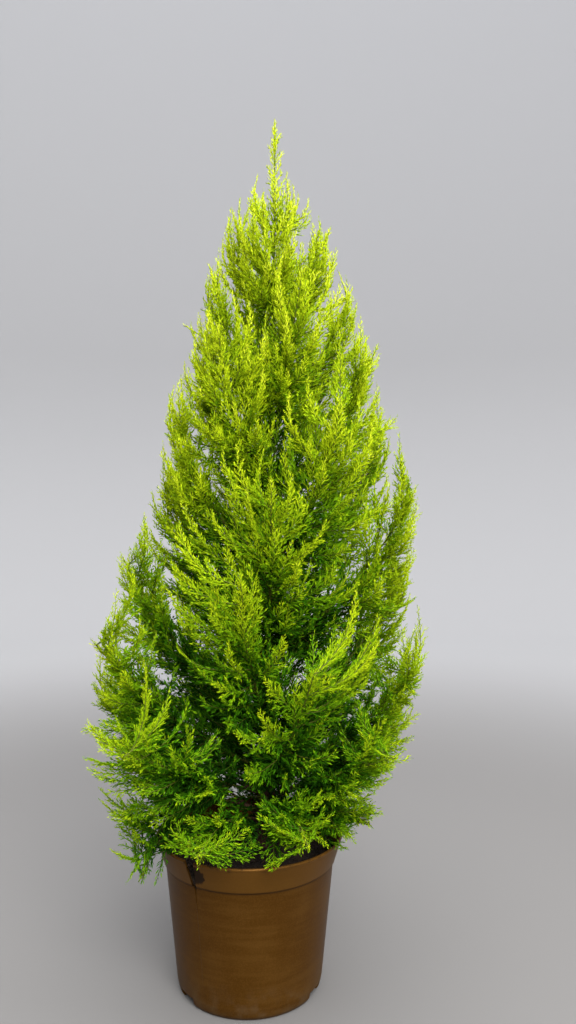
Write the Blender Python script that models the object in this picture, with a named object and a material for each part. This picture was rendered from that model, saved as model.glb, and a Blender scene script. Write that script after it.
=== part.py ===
"""A lemon cypress about a metre tall, a young upright conifer, in a flared plastic nursery pot.

Metres, +Z up. The origin is the middle of the pot's flat underside. +X is to the right and -Y to the
front. One straight leader carries rows of rising plumes. Each plume is one mass of foliage: a stem
with toothed sprays of needles that turn round it by the golden angle and keep to the plume's own
space, which is all that lies nearer to its stem than to any other.
"""

import math
import random

import bmesh
import bpy
import numpy as np
from mathutils.bvhtree import BVHTree

GAP = 0.0003

# Pot: a turned shell with a flared band under its rim and three raised notches at its foot
SEGMENTS = 28
RIM_RADIUS = 0.105
RIM_HEIGHT = 0.169
BAND_HEIGHT = 0.0285
BAND_FOOT_RADIUS = 0.0962
BAND_STEP = 0.0017
WALL_FOOT_RADIUS = 0.0816
WALL_FOOT_HEIGHT = 0.012
FOOT_RADIUS = 0.0769
LIP = 0.0022
WALL = 0.0016
NOTCH_AZIMUTHS = (-25.0, 95.0, 215.0)
NOTCH_HEIGHT = 0.010
NOTCH_HALF_WIDTH = 0.013
NOTCH_START = 0.052
DRAIN_RADIUS = 0.004
DRAIN_PLACE = 0.066
DRAIN_SPREAD = 0.0065

# Soil: fills the pot to a little below its rim
SOIL_LEVEL = 0.152
SOIL_EDGE_DROP = 0.003

# Trunk: from the soil to the foot of the leader
TRUNK_FOOT = SOIL_LEVEL + GAP
TRUNK_TIP = 0.845
TRUNK_FOOT_RADIUS = 0.0064
TRUNK_TIP_RADIUS = 0.0010
FLARE = 0.6
FLARE_HEIGHT = 0.012
TRUNK_FOOT_X = 0.016
TRUNK_LEAN_X = 0.012
TRUNK_SWAY = 0.003
TRUNK_SIDES = 12

# Crown: height against reach from the trunk, to the left and to the right
PLANT_HEIGHT = 0.975
REACH_HEIGHTS = (0.10, 0.16, 0.22, 0.27, 0.34, 0.40, 0.49)
REACH_HEIGHTS += (0.54, 0.63, 0.72, 0.80, 0.87, 0.90, 0.975)
REACH_LEFT = (0.135, 0.165, 0.178, 0.203, 0.200, 0.189, 0.163)
REACH_LEFT += (0.136, 0.118, 0.099, 0.073, 0.055, 0.024, 0.004)
REACH_RIGHT = (0.080, 0.092, 0.136, 0.165, 0.166, 0.168, 0.164)
REACH_RIGHT += (0.167, 0.144, 0.115, 0.082, 0.055, 0.024, 0.004)
SQUARENESS = 3.0
OVER_REACH = 0.004
LEFT_LIFT = 0.013
TIP_JITTER = 0.006
FOOT_JITTER = 0.008

# Rows of plumes: height of the tips, height of the feet on the trunk, lift of the elbow, azimuths
ROWS = (
    (0.862, 0.752, 0.30, (-12, 75, 170, 258)),
    (0.787, 0.645, 0.30, (20, 110, 195, 290)),
    (0.721, 0.553, 0.30, (-18, 65, 155, 240)),
    (0.650, 0.455, 0.30, (12, 105, 197, 300)),
    (0.568, 0.362, 0.32, (-16, 60, 160, 272)),
    (0.470, 0.282, 0.35, (14, 100, 185, 262)),
    (0.386, 0.228, 0.42, (-20, 50, 125, 205, 285)),
    (0.300, 0.202, 0.65, (8, 65, 120, 172, 232, 312)),
    (0.198, 0.176, 2.60, (-30, 30, 90, 150, 248, 288)),
)
ELBOW_REACH = 0.62
FIRST_ROW_WITH_BOUGHS = 7
BOUGH_SHARE = 0.20
BOUGH_RADIUS = 0.0026
BOUGH_TIP_RADIUS = 0.0016
BOUGH_SIDES = 5
BOUGH_RINGS = 5

# One plume of the lowest row hangs over the rim on the left
DROOPER_AZIMUTH = 207
DROOPER_FOOT = 0.188
DROOPER_REACH = 0.143
DROOPER_TIP = 0.137
DROOPER_ELBOW = (0.122, 0.258)

# Foliage: a stem that swells into a slim core, and sprays that stand out of it
STEM_RADIUS = 0.0015
STEM_TIP_RADIUS = 0.0008
STEM_SEGMENTS = 5
STEM_SIDES = 3
STEM_END = 0.84
CORE_RADIUS = 0.0100
CORE_SHARE = 0.045
FIRST_SPRAY = 0.10
LAST_SPRAY = 0.86
SPRAY_SPACING = 0.032
FEWEST_SPRAYS = 4
MOST_SPRAYS = 6
SPRAY_LENGTH = 0.110
LEADER_SPRAY_SHARE = 0.30
SPRAY_SHARE = 0.62
SPRAY_ANGLE_LOW = 48.0
SPRAY_ANGLE_HIGH = 28.0
SPRAY_WIDTH = 0.39
TIP_WIDTHS = (0.24, 0.18, 0.12)
TIP_SPRAY_SHARE = 0.30
TIP_SPRAY_SINK = 0.06
SPRAY_THICKNESS = 0.0010
SPRAY_CORE = 0.22
SPRAY_BEND = 0.10
SPRAY_TAPER = 0.42
SPRAY_SWING = 0.12
TEETH = 3
TEETH_SHARE = 0.86
TOOTH_FORWARD = 0.75
TOOTH_BACK = 0.30
TOOTH_LIFT = 0.40
TOOTH_SIZES = (0.85, 1.12)
LEAF_START = 0.10
LEAF_SPAN = 0.78
SPRAY_SCALES = (1.0, 0.88, 0.76, 0.64, 0.52, 0.40)
SPRAY_TURNS = (0, 24, -24, 48, -48, 72, -72)
FLAT_TURN = 0.6
SPACE_MARGIN = 0.0015
LIMB_MARGIN = 0.0020
POT_MARGIN = 0.0030
SIDE_HINT = (0.31, 0.52, -0.79)
GOLDEN_ANGLE = math.radians(137.508)
SEED = 41

POT_COLOUR = (0.115, 0.052, 0.012)
SOIL_COLOUR = (0.020, 0.012, 0.007)
BARK_COLOUR = (0.105, 0.052, 0.026)
FOLIAGE_LOW_COLOUR = (0.085, 0.190, 0.012)
FOLIAGE_HIGH_COLOUR = (0.330, 0.420, 0.030)


def clear_scene():
    for thing in list(bpy.data.objects):
        bpy.data.objects.remove(thing, do_unlink=True)


def material(name, colour, roughness, metallic=0.0):
    made = bpy.data.materials.new(name)
    made.use_nodes = True
    shader = made.node_tree.nodes["Principled BSDF"]
    shader.inputs["Base Color"].default_value = (*colour, 1.0)
    shader.inputs["Roughness"].default_value = roughness
    shader.inputs["Metallic"].default_value = metallic
    return made


def mesh_object(name, points, faces, collection=None):
    mesh = bpy.data.meshes.new(name)
    mesh.from_pydata([tuple(point) for point in points], [], faces)
    mesh.update()
    made = bpy.data.objects.new(name, mesh)
    (collection or bpy.context.scene.collection).objects.link(made)
    return made


def apply_modifiers(made):
    """The object's mesh becomes the one its modifiers make of it."""
    bpy.context.view_layer.update()
    graph = bpy.context.evaluated_depsgraph_get()
    before = made.data
    made.data = bpy.data.meshes.new_from_object(made.evaluated_get(graph))
    made.modifiers.clear()
    bpy.data.meshes.remove(before)


def remove_object(thing):
    mesh = thing.data
    bpy.data.objects.remove(thing, do_unlink=True)
    bpy.data.meshes.remove(mesh)


def cut(made, cutters):
    """Subtracts the cutters from the object, then removes them."""
    for cutter in cutters:
        modifier = made.modifiers.new("cut", "BOOLEAN")
        modifier.operation = "DIFFERENCE"
        modifier.solver = "EXACT"
        modifier.object = cutter
        cutter.hide_render = True
        cutter.display_type = "WIRE"
    apply_modifiers(made)
    for cutter in cutters:
        remove_object(cutter)


# Pot and soil


def turned(name, profile):
    """A closed solid of revolution. The profile runs up the outside, from the axis to the axis."""
    ring = [2 * math.pi * (k + 0.5) / SEGMENTS for k in range(SEGMENTS)]
    points = [(0.0, 0.0, profile[0][1])]
    for radius, height in profile[1:-1]:
        points += [(radius * math.cos(a), radius * math.sin(a), height) for a in ring]
    points.append((0.0, 0.0, profile[-1][1]))
    faces = []
    rings = len(profile) - 2
    for k in range(SEGMENTS):
        after = (k + 1) % SEGMENTS
        faces.append((0, 1 + after, 1 + k))
        for row in range(rings - 1):
            low = 1 + row * SEGMENTS
            high = low + SEGMENTS
            faces.append((low + k, low + after, high + after, high + k))
        last = 1 + (rings - 1) * SEGMENTS
        faces.append((last + k, last + after, len(points) - 1))
    return mesh_object(name, points, faces)


def wall_radius(height):
    """Outer radius of the pot's straight wall, between its foot and the band."""
    top = RIM_HEIGHT - BAND_HEIGHT
    share = (height - WALL_FOOT_HEIGHT) / (top - WALL_FOOT_HEIGHT)
    return WALL_FOOT_RADIUS + share * (BAND_FOOT_RADIUS - BAND_STEP - WALL_FOOT_RADIUS)


def outer_profile():
    band_foot = RIM_HEIGHT - BAND_HEIGHT
    rounding = 0.6 * WALL_FOOT_RADIUS + 0.4 * FOOT_RADIUS
    return [
        (0.0, 0.0),
        (FOOT_RADIUS, 0.0),
        (rounding, 0.3 * WALL_FOOT_HEIGHT),
        (WALL_FOOT_RADIUS, WALL_FOOT_HEIGHT),
        (wall_radius(band_foot - BAND_STEP), band_foot - BAND_STEP),
        (BAND_FOOT_RADIUS, band_foot),
        (RIM_RADIUS - 0.4 * LIP, RIM_HEIGHT - 1.6 * LIP),
        (RIM_RADIUS, RIM_HEIGHT - 0.8 * LIP),
        (RIM_RADIUS - 0.4 * LIP, RIM_HEIGHT),
        (0.0, RIM_HEIGHT),
    ]


def inner_profile(inset, top):
    """The pot's inside, or the soil that fills it to the given height."""
    band_foot = RIM_HEIGHT - BAND_HEIGHT
    profile = [
        (0.0, WALL + inset),
        (FOOT_RADIUS - WALL - inset, WALL + inset),
        (WALL_FOOT_RADIUS - WALL - inset, WALL_FOOT_HEIGHT),
        (wall_radius(band_foot) - WALL - inset, band_foot - 0.5 * BAND_STEP),
        (BAND_FOOT_RADIUS - WALL - inset, band_foot + BAND_STEP),
    ]
    flare = (RIM_RADIUS - 1.2 * LIP - BAND_FOOT_RADIUS + WALL) / (RIM_HEIGHT - band_foot - BAND_STEP)
    reach = BAND_FOOT_RADIUS - WALL - inset + flare * (top - band_foot - BAND_STEP)
    return profile, reach


def notch_blocks(grow):
    """Boxes of the raised notches, all their sides moved out by the given amount."""
    blocks = []
    for azimuth in NOTCH_AZIMUTHS:
        angle = math.radians(azimuth)
        outward = np.array([math.cos(angle), math.sin(angle), 0.0])
        across = np.array([-math.sin(angle), math.cos(angle), 0.0])
        half = NOTCH_HALF_WIDTH + grow
        near = NOTCH_START - grow
        far = RIM_RADIUS
        low = np.array([0.0, 0.0, -0.01])
        high = np.array([0.0, 0.0, NOTCH_HEIGHT + grow])
        floor = [near * outward - half * across, far * outward - half * across,
                 far * outward + half * across, near * outward + half * across]
        points = [corner + low for corner in floor] + [corner + high for corner in floor]
        faces = [(3, 2, 1, 0), (4, 5, 6, 7), (0, 1, 5, 4), (1, 2, 6, 5), (2, 3, 7, 6), (3, 0, 4, 7)]
        blocks.append(mesh_object("notch", points, faces))
    return blocks


def drain_cutters():
    """Two short upright cylinders through the roof of each notch."""
    cutters = []
    for azimuth in NOTCH_AZIMUTHS:
        angle = math.radians(azimuth)
        for side in (-1, 1):
            x = DRAIN_PLACE * math.cos(angle) - side * DRAIN_SPREAD * math.sin(angle)
            y = DRAIN_PLACE * math.sin(angle) + side * DRAIN_SPREAD * math.cos(angle)
            mesh = bpy.data.meshes.new("drain")
            shape = bmesh.new()
            bmesh.ops.create_cone(shape, cap_ends=True, segments=8, radius1=DRAIN_RADIUS,
                                  radius2=DRAIN_RADIUS, depth=4 * WALL)
            bmesh.ops.translate(shape, verts=shape.verts, vec=(x, y, NOTCH_HEIGHT + 0.5 * WALL))
            shape.to_mesh(mesh)
            shape.free()
            cutter = bpy.data.objects.new("drain", mesh)
            bpy.context.scene.collection.objects.link(cutter)
            cutters.append(cutter)
    return cutters


def make_pot():
    pot = turned("pot", outer_profile())
    cut(pot, notch_blocks(0.0))
    profile, reach = inner_profile(0.0, RIM_HEIGHT)
    above = RIM_HEIGHT + LIP
    inside = turned("inside", profile + [(reach, RIM_HEIGHT), (reach, above), (0.0, above)])
    cut(inside, notch_blocks(WALL))
    cut(pot, [inside] + drain_cutters())
    pot.data.materials.append(material("bronze_plastic", POT_COLOUR, 0.38, 0.35))


def make_soil():
    edge = SOIL_LEVEL - SOIL_EDGE_DROP
    profile, reach = inner_profile(GAP, edge)
    flat = 0.45 * reach
    soil = turned("soil", profile + [(reach, edge), (flat, SOIL_LEVEL), (0.0, SOIL_LEVEL)])
    cut(soil, notch_blocks(WALL + GAP))
    soil.data.materials.append(material("potting_soil", SOIL_COLOUR, 0.95))


# Trunk and boughs


def trunk_rings():
    """Heights, centres and radii of the trunk's rings, which lie closer together in the root flare."""
    flare = [TRUNK_FOOT + FLARE_HEIGHT * share for share in (0.0, 0.4, 1.0, 2.2, 4.0)]
    heights = np.array(flare[:-1] + list(np.linspace(flare[-1], TRUNK_TIP, 9)))
    share = (heights - TRUNK_FOOT) / (TRUNK_TIP - TRUNK_FOOT)
    sway = TRUNK_SWAY * np.sin(2.2 * math.pi * share) * (1 - share)
    along_x = TRUNK_FOOT_X + TRUNK_LEAN_X * share + sway
    along_y = 2 * TRUNK_SWAY * np.sin(1.6 * math.pi * share + 0.4) * share * (1 - share)
    taper = TRUNK_FOOT_RADIUS + (TRUNK_TIP_RADIUS - TRUNK_FOOT_RADIUS) * share ** 0.8
    radii = taper * (1 + FLARE * np.exp((TRUNK_FOOT - heights) / FLARE_HEIGHT))
    return heights, along_x, along_y, radii


TRUNK_RINGS = trunk_rings()


def trunk_centre(height):
    heights, along_x, along_y, _ = TRUNK_RINGS
    return np.array([np.interp(height, heights, along_x), np.interp(height, heights, along_y), height])


def trunk_radius(height):
    return float(np.interp(height, TRUNK_RINGS[0], TRUNK_RINGS[3]))


def unit(vector):
    return vector / np.linalg.norm(vector)


def tube_faces(rings, sides):
    """Faces of a closed tube whose points are listed ring by ring."""
    faces = [tuple(range(sides - 1, -1, -1)), tuple((rings - 1) * sides + k for k in range(sides))]
    for low in range(0, (rings - 1) * sides, sides):
        for k in range(sides):
            after = (k + 1) % sides
            faces.append((low + k, low + after, low + sides + after, low + sides + k))
    return faces


def tube(name, line, tangents, radii, sides, seat=None):
    """A closed tapering tube along a line. seat moves each point of the first ring along the tube."""
    side = np.array([0.0, 0.0, 1.0]) if abs(tangents[0][2]) < 0.9 else np.array([1.0, 0.0, 0.0])
    points = []
    for centre, tangent, radius in zip(line, tangents, radii):
        side = unit(side - tangent * (side @ tangent))
        other = np.cross(tangent, side)
        for k in range(sides):
            angle = 2 * math.pi * (k + 0.5) / sides
            points.append(centre + radius * (math.cos(angle) * side + math.sin(angle) * other))
    if seat:
        points[:sides] = [seat(point, tangents[0]) for point in points[:sides]]
    return mesh_object(name, points, tube_faces(len(line), sides))


def seat_on_trunk(point, direction):
    """Slides the point along the direction to the flat that lies just clear of the trunk's surface."""
    outward = unit(np.array([direction[0], direction[1], 0.0]))
    for _ in range(8):
        offset = (point - trunk_centre(point[2])) @ outward
        point = point - direction * (offset - trunk_radius(point[2]) - GAP) / (direction @ outward)
    return point


def make_trunk():
    points = []
    for height, x, y, radius in zip(*TRUNK_RINGS):
        for k in range(TRUNK_SIDES):
            angle = 2 * math.pi * k / TRUNK_SIDES
            points.append((x + radius * math.cos(angle), y + radius * math.sin(angle), height))
    trunk = mesh_object("trunk", points, tube_faces(len(TRUNK_RINGS[0]), TRUNK_SIDES))
    trunk.data.materials.append(material("bark", BARK_COLOUR, 0.85))


# Plumes: where each one runs


def crown_reach(height, azimuth):
    """Distance from the trunk to the crown's outer surface, at a height and an azimuth in radians."""
    left = np.interp(height, REACH_HEIGHTS, REACH_LEFT)
    right = np.interp(height, REACH_HEIGHTS, REACH_RIGHT)
    lean = np.cos(azimuth)
    mean = 0.5 * (left + right)
    reach = mean + np.where(lean > 0, right - mean, left - mean) * np.abs(lean)
    rounding = np.abs(np.cos(azimuth)) ** SQUARENESS + np.abs(np.sin(azimuth)) ** SQUARENESS
    return reach * rounding ** (-1 / SQUARENESS)


def bend(foot, elbow, tip, share):
    """A point, or a line of points, of the curve that leaves foot towards elbow and ends at tip."""
    share = np.asarray(share, float)[..., None]
    return (1 - share) ** 2 * foot + 2 * share * (1 - share) * elbow + share ** 2 * tip


def directions(curve, shares):
    """Unit tangents of the curve."""
    foot, elbow, tip = curve
    share = np.asarray(shares, float)[..., None]
    along = (1 - share) * (elbow - foot) + share * (tip - elbow)
    return along / np.linalg.norm(along, axis=-1, keepdims=True)


def row_plume(row, azimuth, rng):
    tip_height, foot_height, elbow_lift, _ = ROWS[row]
    angle = math.radians(azimuth)
    outward = np.array([math.cos(angle), math.sin(angle), 0.0])
    tip_height -= LEFT_LIFT * math.cos(angle) * min(1.0, (tip_height - SOIL_LEVEL) / SOIL_LEVEL)
    tip_height += rng.uniform(-TIP_JITTER, TIP_JITTER)
    foot = trunk_centre(foot_height + rng.uniform(-FOOT_JITTER, FOOT_JITTER))
    reach = float(crown_reach(tip_height, angle))
    tip = trunk_centre(tip_height) + outward * reach
    elbow = foot + outward * ELBOW_REACH * reach
    elbow[2] = foot[2] + elbow_lift * (tip_height - foot[2])
    return foot, elbow, tip


def drooping_plume():
    angle = math.radians(DROOPER_AZIMUTH)
    outward = np.array([math.cos(angle), math.sin(angle), 0.0])
    foot = trunk_centre(DROOPER_FOOT)
    axis = np.array([TRUNK_FOOT_X, 0.0, 0.0])
    tip = axis + outward * DROOPER_REACH + np.array([0.0, 0.0, DROOPER_TIP])
    elbow = axis + outward * DROOPER_ELBOW[0] + np.array([0.0, 0.0, DROOPER_ELBOW[1]])
    return foot, elbow, tip


def plan_plumes():
    """Every plume from the top down: its curve, its row and where its foliage starts on the curve."""
    rng = random.Random(SEED)
    top = trunk_centre(TRUNK_TIP)
    tip = top + np.array([0.0, 0.0, PLANT_HEIGHT - TRUNK_TIP])
    plumes = [{"row": -1, "curve": (top, 0.5 * (top + tip), tip), "start": 0.0}]
    for row, (_, _, _, azimuths) in enumerate(ROWS):
        for azimuth in azimuths:
            start = BOUGH_SHARE if row >= FIRST_ROW_WITH_BOUGHS else 0.0
            plumes.append({"row": row, "curve": row_plume(row, azimuth, rng), "start": start})
    plumes.append({"row": len(ROWS) - 1, "curve": drooping_plume(), "start": BOUGH_SHARE})
    return plumes


def length_of(line):
    return float(np.linalg.norm(np.diff(line, axis=0), axis=1).sum())


def leave_trunk(curve):
    """Share of the curve at which it comes out of the trunk."""
    for share in np.linspace(0.0, 0.5, 501):
        point = bend(*curve, share)
        centre = trunk_centre(point[2])
        if math.hypot(*(point - centre)[:2]) > trunk_radius(point[2]) + GAP:
            return float(share)
    return 0.0


# Space: nearest stem, limbs, pot and crown surface


class Space:
    """Tells which points a mass may use: nearest to its own stem, clear of limbs and pot."""

    def __init__(self, plumes):
        stems = []
        owners = []
        limbs = [(trunk_centre(z), trunk_radius(z)) for z in np.arange(TRUNK_FOOT, TRUNK_TIP, 0.004)]
        for number, plume in enumerate(plumes):
            line = bend(*plume["curve"], np.linspace(plume["start"], 1.0, 40))
            stems.append(line)
            owners += [number] * len(line)
            if plume["start"] > 0:
                bough = bend(*plume["curve"], np.linspace(0.02, plume["start"] - 0.03, 14))
                limbs += [(point, BOUGH_RADIUS) for point in bough]
        self.stems = np.concatenate(stems)
        self.owners = np.array(owners)
        self.limbs = np.array([point for point, _ in limbs])
        self.limb_radii = np.array([radius for _, radius in limbs])

    def holds(self, number, points):
        points = np.asarray(points)
        apart = np.linalg.norm(points[:, None] - self.stems[None], axis=2)
        own = apart[:, self.owners == number].min(axis=1)
        other = apart[:, self.owners != number].min(axis=1)
        if (own + SPACE_MARGIN > other).any():
            return False
        to_limbs = np.linalg.norm(points[:, None] - self.limbs[None], axis=2) - self.limb_radii
        if (to_limbs < LIMB_MARGIN).any():
            return False
        from_axis = np.hypot(points[:, 0], points[:, 1])
        low = points[:, 2] < RIM_HEIGHT + POT_MARGIN
        over_soil = from_axis < BAND_FOOT_RADIUS - WALL - POT_MARGIN
        over_soil &= points[:, 2] > SOIL_LEVEL + POT_MARGIN
        beside = from_axis > RIM_RADIUS + POT_MARGIN
        if (low & ~over_soil & ~beside).any():
            return False
        centres = np.array([trunk_centre(z)[:2] for z in points[:, 2]])
        offset = points[:, :2] - centres
        azimuths = np.arctan2(offset[:, 1], offset[:, 0])
        inside = np.hypot(offset[:, 0], offset[:, 1]) < crown_reach(points[:, 2], azimuths) + OVER_REACH
        return bool(inside.all())


# Sprays of needles


def ridge_place(sides, first, last):
    """A place on the ridge from which every rim edge of the teeth first to last is in plain view."""
    behind = [0.0]
    ahead = []
    for line in sides:
        for k in range(first, last + 1):
            tooth = line[2 * k]
            for valley, bounds in ((line[2 * k - 1] if k else None, behind), (line[2 * k + 1], ahead)):
                if valley:
                    share = valley[1] / tooth[1]
                    bounds.append((valley[0] - share * tooth[0]) / (1 - share))
    return 0.5 * (max(behind) + min(ahead))


def spray_shape(length, width, rng):
    """Outline of a toothed blade, in its own axes: along, across and out of its flat.

    The rim is sharp. A ridge above and below carries the thickness, with one point for two teeth.
    """
    pitch = TEETH_SHARE * length / TEETH
    root = (0.0, 0.0, 0.0)
    tip = (length, 0.0, 0.0)
    sides = []
    for side in (-1, 1):
        line = []
        for k in range(TEETH):
            share = (k + 0.6) / TEETH
            reach = width * length * math.sin(math.pi * (LEAF_START + LEAF_SPAN * share))
            reach *= rng.uniform(*TOOTH_SIZES)
            valley = (k + 1) * pitch
            ahead = min(valley + TOOTH_FORWARD * reach - TOOTH_BACK * pitch, 0.98 * length)
            lift = TOOTH_LIFT * reach * (1 if (k + (side > 0)) % 2 else -1) * rng.uniform(0.4, 1.0)
            line.append((ahead, side * reach, lift))
            line.append((valley, side * SPRAY_CORE * reach, 0.0))
        sides.append(line)
    ridge = []
    for k in range(0, TEETH, 2):
        along = ridge_place(sides, k, min(k + 1, TEETH - 1))
        ridge.append((along, 0.0, SPRAY_THICKNESS * (1.15 - along / length)))
    return root, tip, sides, ridge


def spray_mesh(length, width, rng):
    root, tip, sides, ridge = spray_shape(length, width, rng)
    points = [root, tip]
    for line in sides:
        points += line
    first_upper = len(points)
    points += ridge
    first_lower = len(points)
    points += [(along, across, -out) for along, across, out in ridge]
    faces = []
    for side in (0, 1):
        rim = [0] + [2 + side * 2 * TEETH + k for k in range(2 * TEETH)] + [1]
        for first_ridge, turned_over in ((first_upper, side == 0), (first_lower, side == 1)):
            strip = []
            for k in range(TEETH):
                here = first_ridge + k // 2
                strip.append((here, rim[2 * k], rim[2 * k + 1]))
                strip.append((here, rim[2 * k + 1], rim[2 * k + 2]))
                after = first_ridge + (k + 1) // 2 if k + 1 < TEETH else 1
                if after != here:
                    strip.append((here, rim[2 * k + 2], after))
            faces += [face if turned_over else face[::-1] for face in strip]
    return np.array(points), faces


def place_spray(points, start, along, flat, towards, length):
    """The blade's points in the world: its flat faces along flat, and it bends towards a direction."""
    across = np.cross(flat, along)
    lift = towards - along * (towards @ along)
    bow = SPRAY_BEND * (points[:, :1] / length) ** 2 * length
    return start + points[:, :1] * along + points[:, 1:2] * across + points[:, 2:] * flat + bow * lift


def samples_of(points):
    """Points that stand for the blade in the test of its space: rim and ridge, without the root."""
    middle = 0.5 * (points[1:-1] + points[2:])
    return np.concatenate([points[1:], middle])


def flat_direction(start, along, rng):
    """A flat side that looks out of the crown, turned a little."""
    outward = start - trunk_centre(start[2])
    outward[2] = 0.3 * np.hypot(outward[0], outward[1]) + 0.002
    flat = outward - along * (outward @ along)
    across = unit(np.cross(along, flat))
    flat = unit(flat)
    turn = rng.uniform(-FLAT_TURN, FLAT_TURN)
    return unit(math.cos(turn) * flat + math.sin(turn) * across)


def sprays_of(number, plume, space):
    """The sprays of one plume: start, axis, flat side, bend and length, and last the one at its tip."""
    rng = random.Random(SEED + 100 + number)
    curve = plume["curve"]
    start = max(plume["start"], leave_trunk(curve) if plume["row"] >= 0 else 0.0)
    line = bend(*curve, np.linspace(start, 1.0, 30))
    stem_length = length_of(line)
    count = int(min(MOST_SPRAYS, max(FEWEST_SPRAYS, round(stem_length / SPRAY_SPACING))))
    first_turn = rng.uniform(0, 2 * math.pi)
    most = LEADER_SPRAY_SHARE if plume["row"] < 0 else SPRAY_SHARE
    found = []
    for k in range(count):
        share = FIRST_SPRAY + (LAST_SPRAY - FIRST_SPRAY) * (k + 0.5) / count
        here = start + (1 - start) * share
        root = bend(*curve, here)
        stem = directions(curve, here)
        full = min(SPRAY_LENGTH, most * stem_length) * (1.0 - SPRAY_TAPER * share)
        angle = math.radians(SPRAY_ANGLE_LOW + (SPRAY_ANGLE_HIGH - SPRAY_ANGLE_LOW) * share)
        angle += rng.uniform(-SPRAY_SWING, SPRAY_SWING)
        side = unit(np.cross(stem, SIDE_HINT))
        other = np.cross(stem, side)
        shape_seed = rng.random()
        best = None
        for scale in SPRAY_SCALES:
            for turn in SPRAY_TURNS:
                around = first_turn + k * GOLDEN_ANGLE + math.radians(turn)
                sideways = math.cos(around) * side + math.sin(around) * other
                along = math.cos(angle) * stem + math.sin(angle) * sideways
                flat = flat_direction(root, along, random.Random(shape_seed))
                points, _ = spray_mesh(full * scale, SPRAY_WIDTH, random.Random(shape_seed))
                world = place_spray(points, root, along, flat, stem, full * scale)
                if space.holds(number, samples_of(world)):
                    best = (root, along, flat, stem, full * scale, SPRAY_WIDTH, shape_seed)
                    break
            if best:
                break
        if best:
            found.append(best)
    end = min(STEM_END, 1 - TIP_SPRAY_SHARE * SPRAY_LENGTH / stem_length)
    root = bend(*curve, start + (1 - start) * (end - TIP_SPRAY_SINK))
    tip = bend(*curve, 1.0)
    along = unit(tip - root)
    shape_seed = rng.random()
    flat = flat_direction(root, along, random.Random(shape_seed))
    length = float(np.linalg.norm(tip - root))
    for width in TIP_WIDTHS:
        points, _ = spray_mesh(length, width, random.Random(shape_seed))
        if space.holds(number, samples_of(place_spray(points, root, along, flat, along, length))):
            break
    found.append((root, along, flat, along, length, width, shape_seed))
    return start, end, found


# Masses


def keep_main_shell(mesh):
    """Drops loose scraps, and shells inside the solid, which fills the hollows that they close."""
    shape = bmesh.new()
    shape.from_mesh(mesh)
    shape.faces.ensure_lookup_table()
    unseen = set(shape.faces)
    shells = []
    while unseen:
        shell = [unseen.pop()]
        for face in shell:
            for edge in face.edges:
                for neighbour in edge.link_faces:
                    if neighbour in unseen:
                        unseen.remove(neighbour)
                        shell.append(neighbour)
        shells.append(shell)
    shells.sort(key=len)
    for shell in shells[:-1]:
        bmesh.ops.delete(shape, geom=shell, context="FACES")
    bmesh.ops.triangulate(shape, faces=shape.faces)
    shape.to_mesh(mesh)
    shape.free()


def tree_of(points, faces):
    return BVHTree.FromPolygons([tuple(point) for point in points], faces)


def foliage_colour(height):
    share = (height - SOIL_LEVEL) / (PLANT_HEIGHT - SOIL_LEVEL)
    low = np.array(FOLIAGE_LOW_COLOUR)
    return tuple(low + (np.array(FOLIAGE_HIGH_COLOUR) - low) * share)


def make_mass(name, number, plume, space, taken):
    """One mass of foliage: stem and sprays, joined by one Boolean union on a collection."""
    start, end, sprays = sprays_of(number, plume, space)
    curve = plume["curve"]
    shares = np.linspace(start, start + (1 - start) * end, STEM_SEGMENTS + 1)
    line = bend(*curve, shares)
    tangents = directions(curve, shares)
    if plume["start"] > 0 or plume["row"] < 0:
        line[0] = line[0] + GAP * tangents[0]
    radii = np.linspace(STEM_RADIUS, STEM_TIP_RADIUS, len(line))
    swell = np.sin(math.pi * np.linspace(0.0, 1.0, len(line)) ** 0.8)
    radii = radii + swell * min(CORE_RADIUS, CORE_SHARE * length_of(line))
    seat = seat_on_trunk if plume["start"] == 0 and plume["row"] >= 0 else None
    mass = tube(name, line, tangents, radii, STEM_SIDES, seat)
    parts = bpy.data.collections.new(name + "_parts")
    bpy.context.scene.collection.children.link(parts)
    own = []
    for k, (root, along, flat, towards, length, width, shape_seed) in enumerate(sprays):
        points, faces = spray_mesh(length, width, random.Random(shape_seed))
        world = place_spray(points, root, along, flat, towards, length)
        tree = tree_of(world, faces)
        if k + 1 < len(sprays) and any(tree.overlap(other) for other in taken):
            continue
        own.append(tree)
        mesh_object(f"{name}_spray_{k}", world, faces, parts)
    taken += own
    union = mass.modifiers.new("union", "BOOLEAN")
    union.operation = "UNION"
    union.operand_type = "COLLECTION"
    union.collection = parts
    union.solver = "EXACT"
    apply_modifiers(mass)
    for piece in list(parts.objects):
        remove_object(piece)
    bpy.data.collections.remove(parts)
    keep_main_shell(mass.data)
    colour = foliage_colour(plume["curve"][2][2])
    mass.data.materials.clear()
    mass.data.materials.append(material(name, colour, 0.75))


def make_bough(name, plume):
    curve = plume["curve"]
    shares = np.linspace(leave_trunk(curve), plume["start"], BOUGH_RINGS)
    radii = np.linspace(BOUGH_RADIUS, BOUGH_TIP_RADIUS, BOUGH_RINGS)
    bough = tube(name, bend(*curve, shares), directions(curve, shares), radii, BOUGH_SIDES, seat_on_trunk)
    bough.data.materials.append(material(name, BARK_COLOUR, 0.85))


def main():
    clear_scene()
    make_pot()
    make_soil()
    make_trunk()
    plumes = plan_plumes()
    space = Space(plumes)
    taken = []
    for number, plume in enumerate(plumes):
        if plume["start"] > 0:
            make_bough(f"bough_{number:02d}", plume)
        name = f"foliage_{number:02d}" if number else "foliage_leader"
        make_mass(name, number, plume, space, taken)


main()
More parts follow.
